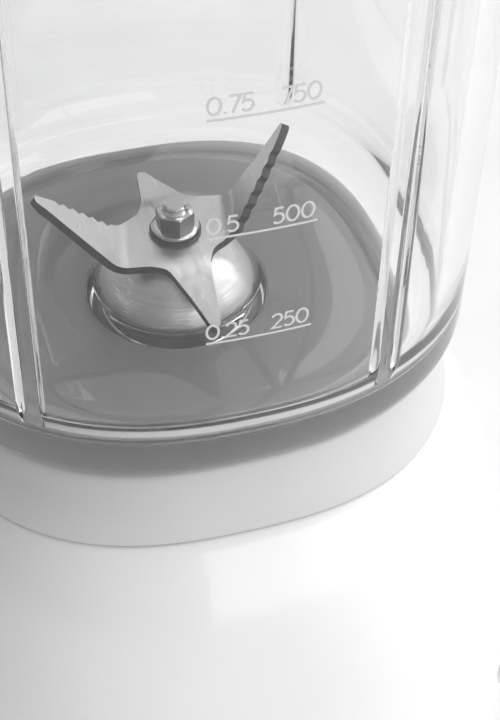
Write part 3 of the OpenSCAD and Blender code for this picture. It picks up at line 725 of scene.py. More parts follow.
@dataclass
class Housing:
    """The motor base's outer shells: the flared body, the collar over it and the blank badge."""

    body: str = "base"
    power: float = 2.55
    wall: float = 3 * MM
    shoulder_half: float = 58.3 * MM
    shoulder: float = 177 * MM
    widening: float = 23.2 * MM
    flare_length: float = 34 * MM
    deck_hole: float = 34 * MM
    socket_half: float = 49.5 * MM
    edge_round: float = 0.7 * MM
    foot_round: float = 5 * MM
    angles: list[float] = field(default_factory=lambda: full_turn(160))

    def flare(self, height: float) -> float:
        """Returns the body's half-width at a height."""
        fall = math.exp((height - self.shoulder) / self.flare_length)
        return self.shoulder_half + self.widening * (1 - fall)

    def ring(self, half: float, height: float, power: float = 0.0) -> Ring:
        """Returns a ring of the body's own plan outline, unless another power is given."""
        return plan_ring(half, height, power or self.power, self.angles)

    def front(self, across: float, height: float, proud: float) -> Vector:
        """Returns the point on the front of the body at that place, standing proud by that much."""
        return Vector((across, -face_depth(self.flare(height), self.power, across) - proud, height))

    def build_body(self) -> None:
        """Builds the flared body as a shell with its holes for the knob and the cord inlet."""
        low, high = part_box("base_housing")
        levels = spread(low.z + self.foot_round, high.z - self.edge_round, 46)
        edge = self.flare(levels[0])
        lip = [(edge - 4.2 * MM * (1 - math.sin(a)), levels[0] - self.foot_round * math.cos(a))
               for a in spread(0.0, math.pi / 2, 7)]
        shoulder = Span(self.flare(high.z), low.z, high.z).at((-0.1, 1, -0.25), (-0.6, 1, 0))
        outside = [*lip, *[(self.flare(z), z) for z in levels[1:]], *shoulder]
        deck = [(self.deck_hole, high.z, 2.0), (self.deck_hole, high.z - self.wall, 2.0)]
        inside_levels = spread(high.z - self.wall, low.z + self.foot_round, 30)
        inside = [(self.flare(z) - self.wall, z) for z in inside_levels]
        foot = (edge - 6.3 * MM, low.z)
        skin = Piece("motor_base_body", self.body, GLOSS_WHITE, "gloss_white", ("base_housing",))
        shell = skin.loft([self.ring(*spot) for spot in [*outside, *deck, *inside, foot]])
        for node, radius, way in (("knob_bezel", 8 * MM, -1), ("cord_gland", 7 * MM, 1)):
            height = middle_z(node)
            bore(shell, radius, Vector((0, way * 65 * MM, height)), Vector((0, way * 95 * MM, height)))

    def build_collar(self) -> None:
        """Builds the collar that the jug's foot drops into."""
        low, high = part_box("top_collar")
        corners = Span(self.shoulder_half, low.z, high.z).at(
            (-0.5, 0, 0), (-0.05, 0, 0.5), (-0.3, 0.2, 0), (-1.3, 0.45, 0), (-2.9, 0.72, 0),
            (-4.3, 1, -0.7), (-5.2, 1, 0)
        )
        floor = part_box("jug_foot")[0].z
        socket = Span(self.socket_half, floor, high.z).at(
            (1.2, 1, 0), (0.3, 1, -0.3), (0, 1, -1.1), (0, 0, 0))
        throat = [(28 * MM, floor, 2.0), (28 * MM, low.z, 2.0)]
        skin = Piece("collar", self.body, SATIN_WHITE, "satin_white", ("top_collar",))
        skin.loft([self.ring(*spot) for spot in [*smooth_line(corners, 5), *socket, *throat]])

    def build_badge(self) -> None:
        """Builds the blank metal badge that follows the front of the body."""
        low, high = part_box("front_badge")
        middle, tall = (low.z + high.z) / 2, (high.z - low.z) / 2
        straight = high.x - tall
        section = [(1.0, 0.2), (1.0, 1.5), (0.95, 1.95), (0.88, 2.1), (0.8, 1.75), (0.76, 1.6), (0.3, 1.6)]
        section += [(-share, proud) for share, proud in reversed(section)]
        rings = []
        for step in spread(-0.995, 0.995, 81):
            across = high.x * math.sin(math.pi / 2 * step)
            reach = math.sqrt(tall ** 2 - max(0.0, abs(across) - straight) ** 2)
            rings.append([self.front(across, middle + share * reach, proud * MM) for share, proud in section])
        badge = Piece("blank_badge", self.body, CHROME, "chrome_trim", ("front_badge",), crease=40.0)
        badge.loft(rings, Ends.CAPPED)

    def build(self) -> None:
        """Builds every shell of the base."""
        self.build_body()
        self.build_collar()
        self.build_badge()


@dataclass
class Knob:
    """The control knob with its lever bar."""

    body: str = "knob"
    flutes: int = 40
    flute_depth: float = 0.35 * MM

    def laid(self, radius: float, out: float, depth: float) -> Ring:
        """Returns a fluted ring round the knob's axis.

        Args:
            radius: The ring's radius.
            out: How far it is from the drive axis.
            depth: How deep its flutes are.

        Returns:
            The ring.
        """
        centre = middle_z("control_knob")
        ring = polar_ring(lambda angle: fluted(radius, depth, self.flutes, angle), 0.0, full_turn(240))
        return [Vector((spot.x, -out, centre + spot.y)) for spot in ring]

    def build_grip(self) -> None:
        """Builds the knob's fluted disc with a shallow dish in its face."""
        low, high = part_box("control_knob")
        outer, inner = Span((high.z - low.z) / 2, -high.y, -low.y), Span(0.0, -high.y, -low.y)
        profile = [
            *inner.at((2.9, 0, 0, 0.0)),
            *outer.at((-0.8, 0, 0, 0.0), (-0.1, 0, 0.8, 1.0), (0, 0, 2.4, 1.0), (-0.6, 0, 5.2, 1.0),
                      (-1.3, 1, -1.6, 0.6), (-2.2, 1, -0.5, 0.0), (-3.4, 1, 0, 0.0), (-4.6, 1, -0.3, 0.0)),
            *inner.at((4, 1, -0.5, 0.0), (2.9, 1, -0.6, 0.0))
        ]
        grip = Piece("knob_grip", self.body, KNOB_CHROME, "chrome_trim", ("control_knob",))
        grip.loft([self.laid(radius, out, share * self.flute_depth) for radius, out, share in profile])

    def build_lever(self) -> None:
        """Builds the rounded bar across the knob, thinner towards its pointing end."""
        low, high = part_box("knob_lever")
        base, reach = -high.y - 0.5 * MM, -low.y
        rings = []
        for t in spread(0.0, 1.0, 25):
            height = low.z + 0.3 * MM + (high.z - low.z - 0.6 * MM) * t
            taper = math.sin(math.pi * min(1.0, 0.06 + 1.1 * t) ** 0.7) ** 0.35 if 0 < t < 1 else 0.25
            wide = (4.9 - 1.6 * t) * MM * taper
            tall = (reach - base) * (0.82 + 0.18 * t) * taper
            rings.append([
                Vector((wide * math.copysign(abs(math.cos(a)) ** 0.75, math.cos(a)),
                        -base - tall * max(0.0, math.sin(a)) ** 0.6, height))
                for a in full_turn(32)
            ])
        lever = Piece("knob_bar", self.body, CHROME, "chrome_trim", ("knob_lever",), crease=60.0)
        lever.loft(rings, Ends.CAPPED)

    def build(self) -> None:
        """Builds the knob's pieces."""
        self.build_grip()
        self.build_lever()


# ---- printed marks ---------------------------------------------------------------------


def arc(x: float, y: float, wide: float, tall: float,
        start: float, end: float, steps: int = 14) -> list[Flat]:
    """Returns points along part of an ellipse, with the angles in degrees."""
    turn = [math.radians(angle) for angle in spread(start, end, steps)]
    return [(x + wide * math.cos(a), y + tall * math.sin(a)) for a in turn]


@dataclass(frozen=True)
class Glyph:
    """One drawn character: its pen strokes on a height of 1, and the room that it takes."""

    strokes: tuple[tuple[Flat, ...], ...]
    advance: float


GLYPHS = {
    "0": Glyph((tuple(arc(0.36, 0.5, 0.33, 0.5, 90, 450, 33)),), 0.84),
    "1": Glyph((((0.04, 0.84), (0.26, 1.0), (0.26, 0.0)),), 0.46),
    "2": Glyph(((*arc(0.3, 0.71, 0.27, 0.29, 165, -38), (0.02, 0.0), (0.6, 0.0)),), 0.7),
    "5": Glyph(((((0.54, 1.0), (0.12, 1.0), (0.07, 0.56), *arc(0.27, 0.32, 0.3, 0.32, 118, -142))),), 0.7),
    "7": Glyph((((0.02, 1.0), (0.58, 1.0), (0.2, 0.0)),), 0.66),
    ".": Glyph((((0.06, 0.02), (0.06, 0.08)),), 0.24),
}

GLYPH_ROOM = 0.1
SUNK = 0.02 * MM
MARKS = (("0.25", "250"), ("0.5", "500"), ("0.75", "750"), ("1", "1000"), ("1.25", "1250"), ("1.5", "1500"))

class Pen:
    """Draws thin raised strokes on a curved surface, as one mesh."""

    def __init__(self, place: Place, width: float, proud: float) -> None:
        """Starts an empty drawing.

        Args:
            place: Gives the point for an across and an up distance and a height over the surface.
            width: The stroke's width.
            proud: How far a stroke stands out of the surface.
        """
        self.place, self.width, self.proud = place, width, proud
        self.points: list[Vector] = []
        self.faces: list[tuple[int, ...]] = []

    def stroke(self, line: Sequence[Flat]) -> None:
        """Adds one stroke.

        Args:
            line: Its points as across and up distances. It is closed where the last is the first.
        """
        closed = math.dist(line[0], line[-1]) < 1e-6
        path = [Vector(spot) for spot in (line[:-1] if closed else line)]
        count = len(path)
        base = len(self.points)
        for index, spot in enumerate(path):
            before = path[index - 1] if closed or index else spot
            after = path[(index + 1) % count] if closed or index < count - 1 else spot
            into = (spot - before).normalized() if before != spot else (after - spot).normalized()
            away = (after - spot).normalized() if after != spot else into
            mean = (into + away).normalized()
            side = Vector((-mean.y, mean.x)) * (0.5 * self.width / max(0.5, mean.dot(into)))
            for edge in (spot + side, spot - side):
                for height in (SUNK, self.proud):
                    self.points.append(self.place(edge.x, edge.y, height))
        for index in range(count if closed else count - 1):
            a, b = base + 4 * index, base + 4 * ((index + 1) % count)
            self.faces += [(a + 1, b + 1, b + 3, a + 3), (a, a + 2, b + 2, b),
                           (a, b, b + 1, a + 1), (a + 2, a + 3, b + 3, b + 2)]
        if not closed:
            end = base + 4 * (count - 1)
            self.faces += [(base, base + 1, base + 3, base + 2), (end, end + 2, end + 3, end + 1)]

    def write(self, text: str, left: float, low: float, size: float) -> None:
        """Writes a number.

        Args:
            text: The number.
            left: The across distance of its left edge.
            low: The up distance of its base line.
            size: The height of a digit.
        """
        for character in text:
            glyph = GLYPHS[character]
            for line in glyph.strokes:
                self.stroke([(left + x * size, low + y * size) for x, y in line])
            left += glyph.advance * size

    def finish(self, piece: Piece) -> None:
        """Builds the drawing as a piece."""
        piece.from_points(self.points, self.faces)


def written_width(text: str, size: float) -> float:
    """Returns the width of a written number, without the room after it."""
    return (sum(GLYPHS[character].advance for character in text) - GLYPH_ROOM) * size


# ---- jug -------------------------------------------------------------------------------


@dataclass
class Jug:
    """The clear jug: its ribbed wall, its handle and the volume marks on its -X side."""

    body: str = "jug"
    power: float = 2.4
    half: float = 59.8 * MM
    wall: float = 4.6 * MM
    lean: float = 3 * MM
    floor: float = 5 * MM
    edge: float = 10 * MM
    rim_round: float = 2.2 * MM
    bowl_wide: float = 16.5 * MM
    bowl_tall: float = 14 * MM
    rib_depth: float = 2.8 * MM
    rib_angle: float = math.radians(35.5)
    rib_turn: float = math.radians(6)
    rib_flat: float = math.radians(1.5)
    rib_foot: float = math.radians(2.5)
    rib_fade: float = 14 * MM
    neck: float = 20 * MM
    neck_bore: float = 17.3 * MM
    handle_low: float = 49 * MM
    handle_drop: float = 18 * MM
    handle_out: float = 50 * MM
    clear: float = 0.12 * MM
    step: float = 24.83 * MM
    first_mark: float = 234.55 * MM
    mark_left: float = -9.4 * MM
    mark_right: float = 10.4 * MM
    digit: float = 3.3 * MM
    digit_lift: float = 1.1 * MM
    digit_inset: float = 0.6 * MM

    def __post_init__(self) -> None:
        """Takes the jug's heights from the frame, and spaces its points closely at the ribs."""
        low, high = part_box("jug")
        self.neck_end = low.z + self.clear
        self.top = high.z
        self.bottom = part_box("jug_foot")[1].z - self.clear
        self.floor_top = self.bottom + self.clear + self.floor
        self.angles = []
        angle = 0.0
        while angle < 2 * math.pi - 1e-6:
            self.angles.append(angle)
            off = self.off_rib(angle)
            fine = self.rib_flat - 0.008 < off < self.rib_foot + 0.008
            angle += math.radians(0.25 if fine else 0.6 if off < 2 * self.rib_foot else 1.5)

    def off_rib(self, angle: float) -> float:
        """Returns how far an angle is from the middle of the nearest rib."""
        from_line = math.pi / 2 - abs((angle + self.rib_turn) % math.pi - math.pi / 2)
        return abs(from_line - self.rib_angle)

    def outer_half(self, height: float) -> float:
        """Returns the wall's outer half-width at a height."""
        return self.half + self.lean * (height - self.bottom) / (self.top - self.bottom)

    def rib(self, angle: float) -> float:
        """Returns how much of a rib stands at an angle, from 0 to 1."""
        share = (self.rib_foot - self.off_rib(angle)) / (self.rib_foot - self.rib_flat)
        share = min(1.0, max(0.0, share))
        return share * share * (3 - 2 * share)

    def ring(self, half: float, height: float, depth: float = 0.0) -> Ring:
        """Returns a ring of the wall, with ribs of that depth pressed in."""
        return polar_ring(
            lambda angle: plan_radius(half, self.power, angle) - depth * self.rib(angle), height, self.angles)

    def outside(self) -> list[Ring]:
        """Builds the outside of the wall.

        Returns:
            The rings from the flat underside up to the rim.
        """
        rings = []
        for angle in spread(0.0, math.pi / 2, 12):
            height = self.bottom + self.edge * (1 - math.cos(angle))
            rings.append(self.ring(self.outer_half(height) - self.edge * (1 - math.sin(angle)), height))
        for height in spread(self.bottom + 1.4 * self.edge, self.top - 14 * MM, 24):
            rings.append(self.ring(self.outer_half(height), height))
        rim = self.half + self.lean - self.rim_round
        for angle in spread(0.0, math.pi, 11):
            height = self.top - self.rim_round * (1 - math.sin(angle))
            rings.append(self.ring(rim + self.rim_round * math.cos(angle), height))
        return rings

    def inside(self) -> list[Ring]:
        """Builds the inside of the wall.

        Returns:
            The rings from the rim down the ribs to the floor.
        """
        rings = []
        base = self.floor_top + self.bowl_tall
        for height in spread(self.top - 6 * MM, base, 34):
            fade = min(1.0, max(0.0, (self.top - 16 * MM - height) / self.rib_fade))
            rings.append(self.ring(self.outer_half(height) - self.wall, height, self.rib_depth * fade))
        for angle in spread(math.pi / 2, 0.0, 16)[1:]:
            height = self.floor_top + self.bowl_tall * (1 - math.cos(angle))
            half = self.outer_half(height) - self.wall - self.bowl_wide * (1 - math.sin(angle))
            foot = max(0.0, 1 - ((base - height) / (0.4 * self.bowl_tall)) ** 2) ** 0.5
            rings.append(self.ring(half, height, self.rib_depth * foot))
        return rings

    def throat(self) -> list[Ring]:
        """Builds the floor's hole and the neck under it.

        Returns:
            The rings from the floor down the hole and up the neck to the underside.
        """
        hole = Span(self.neck_bore, self.neck_end, self.floor_top).at(
            (1.2, 1, 0), (0.3, 1, -0.3), (0, 1, -1.2), (0, 0, 0.3), (0.3, 0, 0))
        neck = Span(self.neck, self.neck_end, self.bottom).at(
            (-0.3, 0, 0), (0, 0, 0.3), (0, 1, -1), (0.3, 1, -0.3), (1, 1, 0))
        return [plan_ring(radius, height, 2.0, self.angles) for radius, height in [*hole, *neck]]

    def handle_line(self, t: float) -> Vector:
        """Finds a point of the handle's centre line.

        Args:
            t: How far along it is, from 0 at the lower root to 1 at the upper root.

        Returns:
            The point.
        """
        low, high = self.bottom + self.clear + self.handle_low, self.top - self.handle_drop
        out = self.half - 1 * MM + self.handle_out * math.sin(math.pi * t) ** 0.55
        return Vector((out, 0.0, low + (high - low) * (t - 0.09 * math.sin(2 * math.pi * t) * (1 - t))))

    def handle_rings(self) -> list[Ring]:
        """Builds the handle's skin.

        Returns:
            Its rings, oval in section and wider at the handle's roots.
        """
        rings = []
        for t in [0.5 - 0.5 * math.cos(math.pi * share) for share in spread(0.0, 1.0, 56)]:
            spot = self.handle_line(t)
            along = (self.handle_line(min(1.0, t + 0.01)) - self.handle_line(max(0.0, t - 0.01))).normalized()
            side = Vector((along.z, 0.0, -along.x))
            flare = abs(math.cos(math.pi * t)) ** 4
            thick, wide = (5.4 + 3 * flare) * MM, (9.9 + 4 * flare) * MM
            rings.append([
                spot + side * thick * math.cos(a) + Vector((0, wide * math.sin(a), 0)) for a in full_turn(40)
            ])
        return rings

    def build_wall(self) -> None:
        """Builds the jug's wall and its handle as one clear moulding."""
        grip = Piece("handle_blank", self.body, CLEAR_JUG, "clear_jug").loft(self.handle_rings(), Ends.CAPPED)
        skin = Piece("clear_jug", self.body, CLEAR_JUG, "clear_jug", ("jug", "jug_handle"), crease=60.0)
        cut(skin.loft([*self.outside(), *self.inside(), *self.throat()]), grip, "UNION")

    def build_foot(self) -> None:
        """Builds the grey foot under the glass, with its top stepped back to a smaller face."""
        low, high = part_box("jug_foot")
        neck = self.neck + 0.2 * MM
        wide = Span(high.x, low.z, high.z)
        profile = [
            *wide.at((-0.5, 0, 0, 2.55), (0, 0, 0.5, 2.55), (0, 1, -5.2, 2.55), (-0.6, 1, -4.6, 2.55),
                     (-3.4, 1, -3.6, 2.5), (-4.0, 1, -3, 2.5), (-4.2, 1, -0.5, 2.5), (-4.6, 1, 0, 2.5)),
            *Span(neck, self.neck_end, high.z).at((0.6, 1, 0, 2.0), (0, 1, -0.6, 2.0), (0, 0, 5, 2.0),
                                                  (9.2, 0, 5, 2.0)),
            *Span(neck, low.z, high.z).at((9.2, 0, 0, 2.0), (11.8, 0, 0, 2.0), (11.8, 1, -5.4, 2.0)),
            *wide.at((-7.6, 1, -5.4, 2.5), (-3, 1, -7.4, 2.55), (-3, 0, 0, 2.55))
        ]
        foot = Piece("jug_grey_foot", self.body, FOOT_GREY, "grey_foot", ("jug_foot",))
        foot.loft([plan_ring(*spot, self.angles) for spot in profile])

    def side(self, across: float, up: float, proud: float) -> Vector:
        """Returns a point on the jug's -X side, with across running towards -Y."""
        return Vector((-face_depth(self.outer_half(up), self.power, across) - proud, -across, up))

    def build_marks(self) -> None:
        """Builds the volume marks: a line with litres at its left end and millilitres at its right."""
        pen = Pen(self.side, 0.46 * MM, 0.08 * MM)
        for index, (litres, millilitres) in enumerate(MARKS):
            height = self.first_mark + index * self.step
            pen.stroke([(x, height) for x in spread(self.mark_left, self.mark_right, 9)])
            pen.write(litres, self.mark_left, height + self.digit_lift, self.digit)
            left = self.mark_right - written_width(millilitres, self.digit) - self.digit_inset
            pen.write(millilitres, left, height + self.digit_lift, self.digit)
        pen.finish(Piece("volume_marks", self.body, PRINT, "clear_jug", crease=20.0))

    def build(self) -> None:
        """Builds every piece of the jug."""
        self.build_wall()
        self.build_foot()
        self.build_marks()


# ---- blade unit ------------------------------------------------------------------------


BEND_LENGTH = 6.0


@dataclass(frozen=True)
class Arm:
    """One arm of the blade: where it leaves the hub, its heading, its bend and its reach."""

    root: Flat
    heading: float
    lift: float
    reach: float
    half: float
    toothed: bool

    def local(self, along: float, aside: float) -> Flat:
        """Returns the flat place of a point along the arm and aside from its middle, in millimetres."""
        east, north = math.cos(math.radians(self.heading)), math.sin(math.radians(self.heading))
        return self.root[0] + along * east - aside * north, self.root[1] + along * north + aside * east

    def outline(self) -> list[Triple]:
        """Draws the arm's corners.

        Returns:
            Each corner as x, y and the radius that it is rounded by, in millimetres.
        """
        if not self.toothed:
            corners = [
                (0.0, -self.half, 2.5), (0.55 * self.reach, -0.32 * self.half, 3.0),
                (self.reach - 0.7, 0.3, 0.6), (self.reach, 1.4, 0.7), (self.reach - 1, 2.4, 0.6),
                (0.0, self.half, 2.5)
            ]
            return [(*self.local(s, t), r) for s, t, r in corners]
        teeth = 6
        pitch, slope = (self.reach - 7) / teeth, (self.half - 3.4) / self.reach
        corners = [(0.0, -self.half, 2.0)]
        for index in range(teeth):
            along = 2 + index * pitch
            edge = self.half - slope * along
            corners += [(along, -edge, 0.3), (along + 0.42 * pitch, -edge + 1.15, 0.5),
                        (along + 0.8 * pitch, -edge + 0.5, 0.6)]
        corners += [(self.reach - 3, -3.3, 1.0), (self.reach - 0.2, -2.4, 1.0), (self.reach - 0.4, -0.9, 0.8),
                    (0.0, self.half, 2.0)]
        return [(*self.local(s, t), r) for s, t, r in corners]

    def bend(self, spot: Vector) -> Vector:
        """Bends a point of the flat sheet up with this arm, round a small radius at its root.

        Args:
            spot: The point in millimetres, with its height over the sheet's underside.

        Returns:
            The bent point, or the same point where it isn't on this arm.
        """
        turn, lift = math.radians(self.heading), math.radians(self.lift)
        ahead = Vector((math.cos(turn), math.sin(turn), 0))
        left = Vector((-math.sin(turn), math.cos(turn), 0))
        away = Vector((spot.x - self.root[0], spot.y - self.root[1], 0))
        start = away.dot(ahead) + BEND_LENGTH / 2
        if start <= 0 or abs(away.dot(left)) > self.half + 3:
            return spot
        share = min(1.0, start / BEND_LENGTH)
        angle = lift * share
        radius = BEND_LENGTH / lift
        along = radius * math.sin(angle) + max(0.0, start - BEND_LENGTH) * math.cos(angle)
        rise = radius * (1 - math.cos(angle)) + max(0.0, start - BEND_LENGTH) * math.sin(angle)
        root = Vector((self.root[0], self.root[1], 0)) + left * away.dot(left) - ahead * BEND_LENGTH / 2
        up = Vector((0, 0, 1)) * math.cos(angle) - ahead * math.sin(angle)
        return root + ahead * along + Vector((0, 0, rise)) + up * spot.z


@dataclass
class BladeUnit:
    """The steel blade on its spindle, with the nut over it and the cone under it."""

    body: str = "blade_unit"
    thick: float = 1.8
    pitch: float = 0.5
    arms: tuple[Arm, ...] = (
        Arm((11.3, 0.0), 0.0, -16.0, 16.0, 4.6, False), Arm((-2.1, 13.7), 78.7, 38.0, 22.0, 6.7, True),
        Arm((-11.3, 0.0), 180.0, -11.0, 17.0, 4.6, False), Arm((2.1, -13.7), 258.7, 67.0, 27.5, 6.7, True)
    )
    hub: tuple[Triple, ...] = ((7.2, 6.6, 3.4), (-9.9, 7.4, 3.0))

    def sheet(self) -> list[Flat]:
        """Draws the whole blade before it is bent.

        Returns:
            The points of its flat outline, in millimetres.
        """
        corners = []
        for index, arm in enumerate(self.arms):
            x, y, radius = self.hub[index % 2]
            sign = 1 if index < 2 else -1
            corners += [*arm.outline(), (sign * x, sign * y, radius)]
        return rounded(corners, 4)

    def build_blade(self) -> None:
        """Builds the blade as a sheet that is cut, bent and given its thickness and its eased edges."""
        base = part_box("blade_washer")[0].z - self.thick * MM
        line = self.sheet()
        sheet = bmesh.new()
        rim = [sheet.verts.new((x, y, 0)) for x, y in line]
        hole = [sheet.verts.new((3.05 * math.cos(a), 3.05 * math.sin(a), 0)) for a in full_turn(32)]
        pairs = [(loop[i], loop[(i + 1) % len(loop)]) for loop in (rim, hole) for i in range(len(loop))]
        edges = [sheet.edges.new(pair) for pair in pairs]
        bmesh.ops.triangle_fill(sheet, use_beauty=True, edges=edges)
        for arm in self.arms:
            turn = math.radians(arm.heading)
            way = Vector((math.cos(turn), math.sin(turn), 0))
            for along in (*spread(-BEND_LENGTH / 2, BEND_LENGTH / 2, 9), *spread(5.0, arm.reach - 3, 5)):
                spot = Vector((*arm.local(along, 0.0), 0))
                everything = [*sheet.verts, *sheet.edges, *sheet.faces]
                bmesh.ops.bisect_plane(sheet, geom=everything, plane_co=spot, plane_no=way, dist=1e-5)
        bmesh.ops.recalc_face_normals(sheet, faces=sheet.faces)
        if sum(face.normal.z * face.calc_area() for face in sheet.faces) <= 0:
            bmesh.ops.reverse_faces(sheet, faces=sheet.faces)
        flat = [vert.co.copy() for vert in sheet.verts]
        sheet.verts.index_update()
        faces = [[vert.index for vert in face.verts] for face in sheet.faces]
        border = [[vert.index for vert in edge.verts] for edge in sheet.edges if len(edge.link_faces) == 1]
        sheet.free()
        points = []
        for rise in (0.0, self.thick):
            for spot in flat:
                place = Vector((spot.x, spot.y, rise))
                for arm in self.arms:
                    moved = arm.bend(place)
                    if moved != place:
                        place = moved
                        break
                points.append(place * MM + Vector((0, 0, base)))
        count = len(flat)
        skin = [[count + i for i in face] for face in faces] + [list(reversed(face)) for face in faces]
        skin += [[a, b, count + b, count + a] for a, b in border]
        blade = Piece("four_armed_blade", self.body, BLADE_STEEL, "brushed_blade", ("blade",), crease=28.0)
        made = blade.from_points(points, skin)
        # The edge faces get the near-black steel: painted shade on the blade's edges.
        made.data.materials.append(BLADE_EDGE_SHADE.material())
        for polygon in made.data.polygons[2 * len(faces):]:
            polygon.material_index = 1
        ease = made.modifiers.new("ease", "BEVEL")
        ease.width, ease.segments, ease.limit_method = 0.16 * MM, 2, "ANGLE"
        ease.angle_limit = math.radians(50)
        bake(made)

    def build_nut(self) -> None:
        """Builds the hexagon nut with its domed flange and chamfered corners."""
        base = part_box("blade_nut")[0].z
        across = 4.3 * MM * math.cos(math.pi / 6)
        rows = [
            (5.0, 0.0, 0), (5.2, 0.2, 0), (5.2, 0.75, 0), (5.05, 1.0, 0), (4.6, 1.15, 0), (4.45, 1.2, 1),
            (4.45, 4.75, 1), (4.0, 5.05, 1), (3.75, 5.15, 0), (2.95, 5.15, 0), (2.95, 4.2, 0), (3.05, 4.2, 0),
            (3.05, 0.0, 0)
        ]

        def reach(angle: float, limit: float, hexed: int) -> float:
            """Returns the nut's radius at an angle, held to its flats where it is hexed."""
            flat = across / math.cos((angle % (math.pi / 3)) - math.pi / 6)
            return min(limit * MM, flat) if hexed else limit * MM

        rings = [
            polar_ring(lambda angle: reach(angle, limit, hexed), base + rise * MM, full_turn(120))
            for limit, rise, hexed in rows
        ]
        nut = Piece("flanged_nut", self.body, NUT_STEEL, "brushed_blade", ("blade_nut",), crease=24.0)
        made = nut.loft(rings)
        made.data.materials.append(NUT_FLATS.material())
        for polygon in made.data.polygons:
            side = abs(polygon.normal.z) < 0.3 and base + 1.3 * MM < polygon.center.z < base + 4.4 * MM
            polygon.material_index = int(side and polygon.center.xy.length > 3.4 * MM)

    def build_spindle(self) -> None:
        """Builds the spindle with its shoulder, its threaded end and the chamfer on top."""
        low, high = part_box("blade_spindle")
        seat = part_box("blade_washer")[0].z - self.thick * MM
        shaft, thread = Span(0.0, low.z, seat), Span(0.0, seat, high.z)
        profile = shaft.at((0.4, 0, 0), (3.6, 0, 0), (4, 0, 0.4), (4, 1, -0.3), (3.7, 1, 0), (2.95, 1, 0))
        for index in range(int((high.z - 1.2 * MM - seat) / (self.pitch * MM))):
            crest, dip = self.pitch * (index + 0.35), self.pitch * (index + 0.75)
            profile += thread.at((2.95, 0, crest), (2.75, 0, dip))
        profile += thread.at(
            (2.45, 1, -1.1), (2.45, 1, -0.5), (2.2, 1, -0.2), (2.15, 1, -0.2), (0.5, 1, -0.2))
        spindle = Piece("threaded_spindle", self.body, NUT_STEEL, "brushed_blade", ("blade_spindle",),
                        crease=24.0)
        spindle.lathe(profile, 64, Ends.CAPPED)

    def build_cone(self) -> None:
        """Builds the steel cone that covers the bearing."""
        low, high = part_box("cone_housing")
        radius, rise = high.x / MM, (high.z - low.z) / MM
        corners = [
            (radius - 0.3, 0.0), (radius, 0.4), (radius - 0.1, 1.3), (radius - 1.0, 3.6), (radius - 2.7, 6.1),
            (radius - 5.3, 8.6), (8.3, rise - 0.9), (6.9, rise), (6.2, rise - 0.2)
        ]
        under = [(6.0, rise - 0.6), (7.6, rise - 1.8), (12.4, rise - 4.6), (15.2, 0.6), (15.5, 0.0)]
        profile = [(r * MM, low.z + z * MM) for r, z in [*smooth_line(corners, 6), *under]]
        cone = Piece("bearing_cone", "jug", CONE_STEEL, "brushed_blade", ("cone_housing",), crease=40.0)
        cone.lathe(profile, 160)

    def build(self) -> None:
        """Builds every piece of the blade unit."""
        self.build_blade()
        self.build_nut()
        self.build_spindle()
        self.build_cone()


# ---- lid -------------------------------------------------------------------------------


@dataclass
class Lid:
    """The lid that plugs into the jug's rim."""

    body: str = "lid"
    power: float = 2.4
    plug_gap: float = 7 * MM
    angles: list[float] = field(default_factory=lambda: full_turn(160))

    def build(self) -> None:
        """Builds the lid, hollow underneath, with its plug and its round filler hole."""
        low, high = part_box("lid")
        half, seat, hole = high.x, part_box("jug")[1].z + 0.12 * MM, 25.2 * MM
        plug = half - 0.6 * MM - self.plug_gap
        corners = Span(half, seat, high.z).at(
            (-1.0, 0, 0), (-0.1, 0, 0.9), (0, 0.3, 0), (-0.5, 0.52, 0), (-2.6, 0.76, 0), (-9, 0.93, 0),
            (-21, 1, 0)
        )
        opening = Span(hole, low.z, high.z).at(
            (0.9, 1, 0), (0.2, 1, -0.3), (0, 1, -1), (0, 0, 0.5), (0.5, 0, 0), (3, 0, 0), (3, 1, -6))
        skirt = Span(plug, low.z, seat).at(
            (-2.6, 1, 1.6), (-2.6, 0, 0.4), (-2.2, 0, 0), (-0.5, 0, 0), (0, 0, 0.5), (0, 1, 0))
        rings = [
            plan_ring(*spot, power, self.angles)
            for line, power in ((smooth_line(corners, 5), self.power), (opening, 2.0), (skirt, self.power))
            for spot in line
        ]
        Piece("jug_lid", self.body, SATIN_WHITE, "satin_white", ("lid",)).loft(rings)


@dataclass
class FillerCap:
    """The cap in the middle of the lid, with shallow grips round its dome."""

    body: str = "filler_cap"
    grips: int = 24
    grip_depth: float = 0.5 * MM

    def build(self) -> None:
        """Builds the cap as one hollow turned moulding whose side is fluted for the fingers."""
        low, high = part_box("filler_cap")
        neck, flange = 24 * MM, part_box("lid")[1].z + 0.3 * MM
        profile = [
            *Span(high.x, flange, high.z).at(
                (-0.7, 0, 0, 0.0), (0, 0, 0.9, 0.0), (-0.2, 0.2, 0, 0.4), (-1.2, 0.5, 0, 1.0),
                (-2.6, 0.68, 0, 1.0), (-6, 0.85, 0, 0.4), (-13, 0.96, 0, 0.0)),
            *Span(0.0, flange, high.z).at((6, 1, -0.02, 0.0), (0.5, 1, 0, 0.0), (0.5, 1, -2.4, 0.0)),
            *Span(neck, low.z, high.z).at(
                (-8, 1, -3, 0.0), (-2.4, 1, -9, 0.0), (-2.4, 0, 0.4, 0.0), (-1.9, 0, 0, 0.0),
                (-0.5, 0, 0, 0.0), (0, 0, 0.5, 0.0)),
            (neck, flange, 0.0)
        ]
        rings = []
        for radius, height, share in profile:
            depth = share * self.grip_depth
            rings.append(polar_ring(
                lambda angle: fluted(radius, depth, self.grips, angle), height, full_turn(192)))
        Piece("filler_cap_dome", self.body, SATIN_WHITE, "satin_white", ("filler_cap",)).loft(rings)


# ---- pieces taken from the frame -------------------------------------------------------


